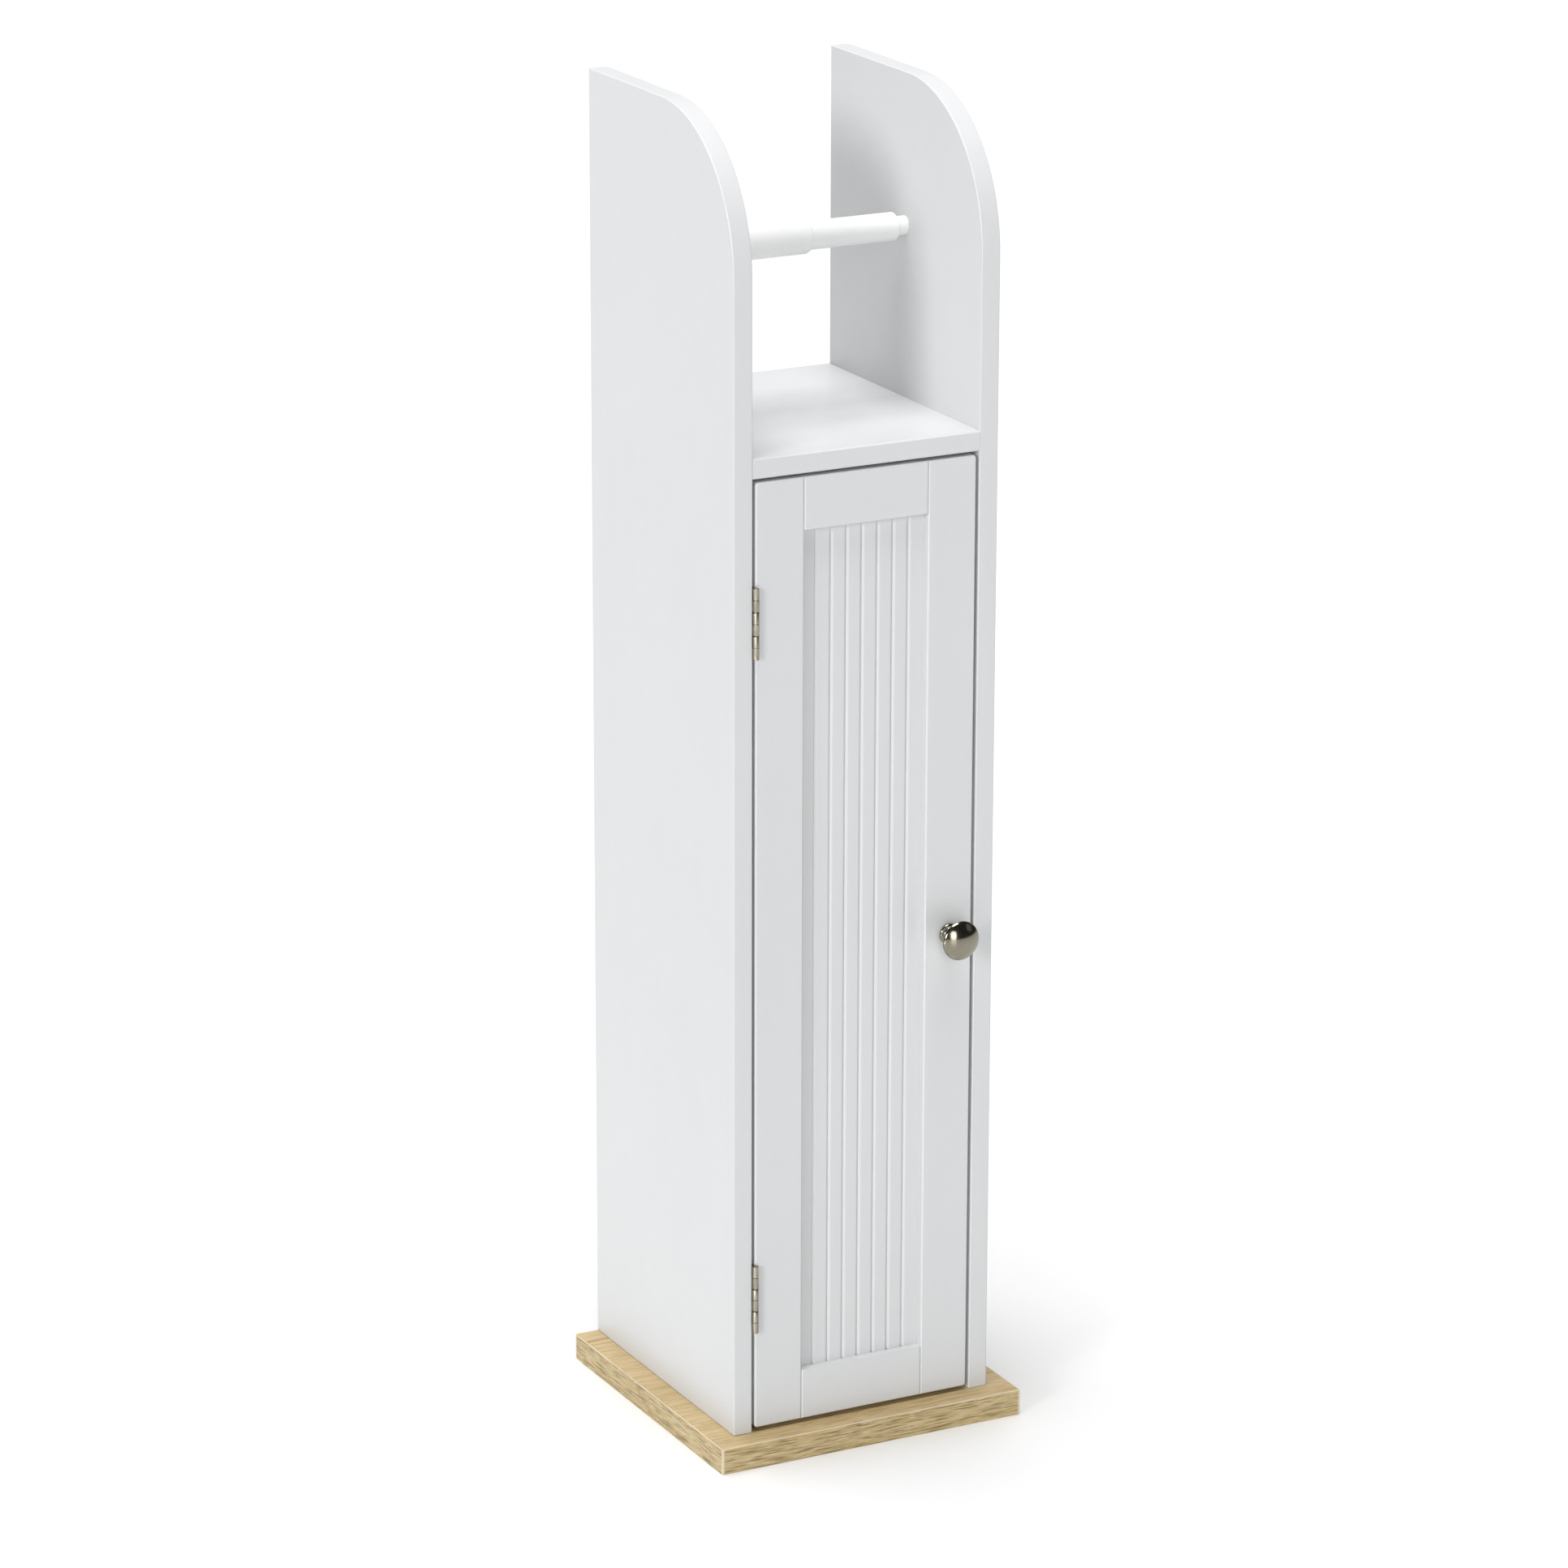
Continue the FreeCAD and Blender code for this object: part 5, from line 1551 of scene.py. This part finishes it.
@dataclass
class MagneticCatch:
    """Housing with its magnet and plates under the shelf, and the strike plate on the door."""

    looks: dict[str, Look]
    block_round: float = 0.0004
    magnet_round: float = 0.0003
    plate_round: float = 0.0002
    screw_radius: float = 0.0014
    screw_head_height: float = 0.0016

    def build(self) -> None:
        """Make every piece of the catch."""
        looks = self.looks
        dress("catch_housing", "catch_block", self.block_round, looks["catch_plastic"])
        dress("catch_magnet", "magnet_block", self.magnet_round, looks["ferrite"])
        dress("catch_pole_plates", "pole_plates", self.plate_round, looks["zinc_plate"])
        dress("strike_plate", "strike_face", self.plate_round, looks["zinc_plate"], "door")
        self.housing_screws()
        self.strike_screw()

    def housing_screws(self) -> None:
        """Make the two flat-headed screws of the housing."""
        low, high = groups_of("catch_screws")[0]
        screw = Screw(self.screw_radius, (high.x - low.x) / 2, self.screw_head_height, countersunk=False)
        down = Axis.Z.unit(-1.0)
        screw.fit("catch_screw_heads", "catch_screws", down, self.looks["zinc_plate"], "cabinet")

    def strike_screw(self) -> None:
        """Make the countersunk screw of the strike plate, with a head as high as the plate is thick."""
        low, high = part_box("strike_plate")
        head_height = high.y - low.y
        screw = Screw(self.screw_radius, self.screw_radius + head_height, head_height)
        screw.fit("strike_screw_head", "strike_screw", Axis.Y.unit(), self.looks["zinc_plate"], "door")


# Roller

@dataclass
class Roller:
    """Two-part roller with its spring."""

    looks: dict[str, Look]
    sleeve_radius: float = 0.0105
    sleeve_wall: float = 0.0020
    lip_length: float = 0.0022
    lip_drop: float = 0.0010
    tube_radius: float = 0.0084
    tube_wall: float = 0.0015
    nub_radius: float = 0.00575
    nub_round: float = 0.0020
    end_gap: float = 0.0004
    shoulder_gap: float = 0.0086
    edge: float = 0.0004
    lip_soft_share: float = 0.4
    wire_radius: float = 0.00045
    spring_turns: float = 16.0
    travel: float = 0.008
    steps: int = 72
    nub_steps: int = 8
    edge_steps: int = 5
    bend_steps: int = 6

    def build(self) -> None:
        """Make the sleeve, the tube and the spring."""
        self.sleeve()
        self.tube()
        low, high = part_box("roller_spring")
        middle = node_middle("roller_spring")
        length = high.x - low.x
        spring = CoilTree().piece("coil_spring", {
            "Radius": (high.z - low.z) / 2,
            "Wire Radius": self.wire_radius,
            "Length": length - 2 * self.wire_radius,
            "Turns": self.spring_turns,
            "Start": (low.x + self.wire_radius, middle.y, middle.z),
            "Finish": self.looks["spring_wire"].material,
        })
        settle(spring, self.looks["spring_wire"], "roller_sleeve", "roller_spring")
        Axis.X.unit()
        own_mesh(spring)

    def turned(self, name: str, node: str, profile: Sequence[Point2]) -> None:
        """Turn one half of the roller about its axis and settle it on its own body.

        Args:
            name: Name of the piece.
            node: The frame node, which has the name of its body.
            profile: Points as (place along the axis, radius).
        """
        middle = node_middle(node)
        piece = turned_piece(name, profile, Axis.X, (middle.y, middle.z), self.steps, sharp=35.0)
        settle(piece, self.looks["roller_plastic"], node, node)

    def sleeve(self) -> None:
        """Make the wider half, closed at the left with its nub in the panel."""
        low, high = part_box("roller_sleeve")
        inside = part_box("side_panel_left")[1].x + self.end_gap
        bore = self.sleeve_radius - self.sleeve_wall
        floor = inside + self.sleeve_wall
        lip = self.sleeve_radius - self.lip_drop
        soft = self.edge * self.lip_soft_share
        nub_middle = (low.x + self.nub_round, self.nub_radius - self.nub_round)
        nub = arc(nub_middle, self.nub_round, 180.0, 90.0, self.nub_steps)
        edge_middle = (inside + self.edge, self.sleeve_radius - self.edge)
        start_edge = arc(edge_middle, self.edge, 180.0, 90.0, self.edge_steps)
        profile = [(low.x, 0.0), *nub, (inside, self.nub_radius), *start_edge]
        profile += [(high.x - self.lip_length, self.sleeve_radius), (high.x - self.edge, lip + soft)]
        profile += [(high.x, lip - soft), (high.x, bore), (floor, bore), (floor, 0.0)]
        self.turned("sleeve", "roller_sleeve", profile)

    def tube(self) -> None:
        """Make the narrower half, with its softly stepped shoulder and rounded nub at the right."""
        low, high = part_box("roller_tube")
        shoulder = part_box("side_panel_right")[0].x - self.shoulder_gap
        bore = self.tube_radius - self.tube_wall
        closed = shoulder - self.tube_wall
        bend = (self.tube_radius - self.nub_radius) / 2
        middle = self.tube_radius - bend
        outer = arc((shoulder, middle), bend, 90.0, 0.0, self.bend_steps)
        inner = arc((shoulder + 2 * bend, middle), bend, 180.0, 270.0, self.bend_steps)
        nub_middle = (high.x - self.nub_round, self.nub_radius - self.nub_round)
        nub = arc(nub_middle, self.nub_round, 90.0, 0.0, self.nub_steps)
        profile = [(closed, 0.0), (closed, bore), (low.x, bore), (low.x, self.tube_radius)]
        profile += [*outer, *inner[1:], *nub, (high.x, 0.0)]
        self.turned("tube", "roller_tube", profile)


# Floor, lights and camera

@dataclass(frozen=True)
class SoftLight:
    """A distant soft light: where it comes from, how wide it looks and how strong it is."""

    name: str
    source: Point3
    width: float
    strength: float

    def build(self) -> None:
        """Add the light to the scene."""
        data = bpy.data.lights.new(self.name, "SUN")
        data.angle = math.radians(self.width)
        data.energy = self.strength * math.pi
        lamp = bpy.data.objects.new(self.name, data)
        lamp.rotation_mode = "QUATERNION"
        lamp.rotation_quaternion = Vector(self.source).to_track_quat("Z", "Y")
        bpy.context.scene.collection.objects.link(lamp)


@dataclass
class Studio:
    """Pale floor, soft lights and the camera at the photograph's place."""

    floor_half: float = 14.0
    floor_tone: float = 0.75
    floor_gloss: float = 0.5
    front_strength: float = 0.04
    back_strength: float = 0.62
    back_span: Point2 = (-0.1, 0.6)
    lights: tuple[SoftLight, ...] = (
        SoftLight("key", (-0.86, -0.43, 0.27), 15.0, 0.48),
        SoftLight("fill_high", (-0.29, -0.89, 0.34), 22.0, 0.16),
        SoftLight("fill_low", (-0.31, -0.94, 0.12), 22.0, 0.14),
        SoftLight("top_front", (-0.06, -0.16, 0.98), 28.0, 0.60),
        SoftLight("top_back", (-0.06, 0.16, 0.98), 28.0, 0.52),
        SoftLight("side", (0.79, -0.46, 0.41), 24.0, 0.01),
    )
    azimuth: float = -27.389
    elevation: float = 17.389
    roll: float = 0.135
    distance: float = 3.667
    aim: Point3 = (-0.0087, 0.0, 0.3842)
    lens: float = 143.09
    sensor: float = 36.0

    def build(self) -> None:
        """Make the floor, the lights and the camera."""
        self.floor()
        self.world()
        for light in self.lights:
            light.build()
        self.camera()

    def floor(self) -> None:
        """Make the floor."""
        bm = bmesh.new()
        bmesh.ops.create_grid(bm, x_segments=2, y_segments=2, size=self.floor_half)
        floor = object_from(bm, "studio_floor", smooth=False)
        tone = (self.floor_tone,) * 3
        gloss = {"Coat Weight": self.floor_gloss, "Coat Roughness": 0.16, "Coat IOR": 1.6}
        constants = {"Base Color": (*tone, 1.0), "Roughness": 0.9, **gloss}
        floor.data.materials.append(shader_sheet("studio_floor", constants)[0])

    def world(self) -> None:
        """Set a surround that is white behind the cabinet and dim in front of it."""
        world = bpy.data.worlds.new("studio")
        world.use_nodes = True
        sheet = NodeSheet(world.node_tree)
        facing = sheet.add("ShaderNodeTexCoord").outputs["Generated"]
        depth = sheet.add("ShaderNodeSeparateXYZ", {0: facing}).outputs["Y"]
        ends = (self.front_strength, self.back_strength)
        strength = sheet.spread(depth, *self.back_span, *ends, smooth=True)
        light = sheet.add("ShaderNodeBackground", {"Color": (1.0, 1.0, 1.0, 1.0), "Strength": strength})
        output = sheet.add("ShaderNodeOutputWorld")
        sheet.feed(output.inputs["Surface"], light.outputs[0])
        bpy.context.scene.world = world
        bpy.context.scene.view_settings.view_transform = "Standard"

    def camera(self) -> None:
        """Add the camera at the photograph's viewing angle."""
        turn, rise, lean = (math.radians(angle) for angle in (self.azimuth, self.elevation, self.roll))
        back = Vector((math.sin(turn) * math.cos(rise), -math.cos(turn) * math.cos(rise), math.sin(rise)))
        level = (-back).cross(Vector((0.0, 0.0, 1.0))).normalized()
        upright = level.cross(-back)
        right = math.cos(lean) * level + math.sin(lean) * upright
        up = math.cos(lean) * upright - math.sin(lean) * level
        data = bpy.data.cameras.new("camera")
        data.lens = self.lens
        data.sensor_width = self.sensor
        camera = bpy.data.objects.new("camera", data)
        bpy.context.scene.collection.objects.link(camera)
        place = Matrix((right, up, back)).transposed().to_4x4()
        place.translation = Vector(self.aim) + back * self.distance
        camera.matrix_world = place
        bpy.context.scene.camera = camera


def main() -> None:
    """Build the cabinet's looks, sub-assembly by sub-assembly."""
    logging.basicConfig(level=logging.INFO, format="%(name)s: %(message)s")
    looks = make_looks()
    for part in (Base, Carcass, Door, Hinges, Knob, MagneticCatch, Roller):
        part(looks).build()
    Studio().build()


if __name__ == "__main__":
    main()
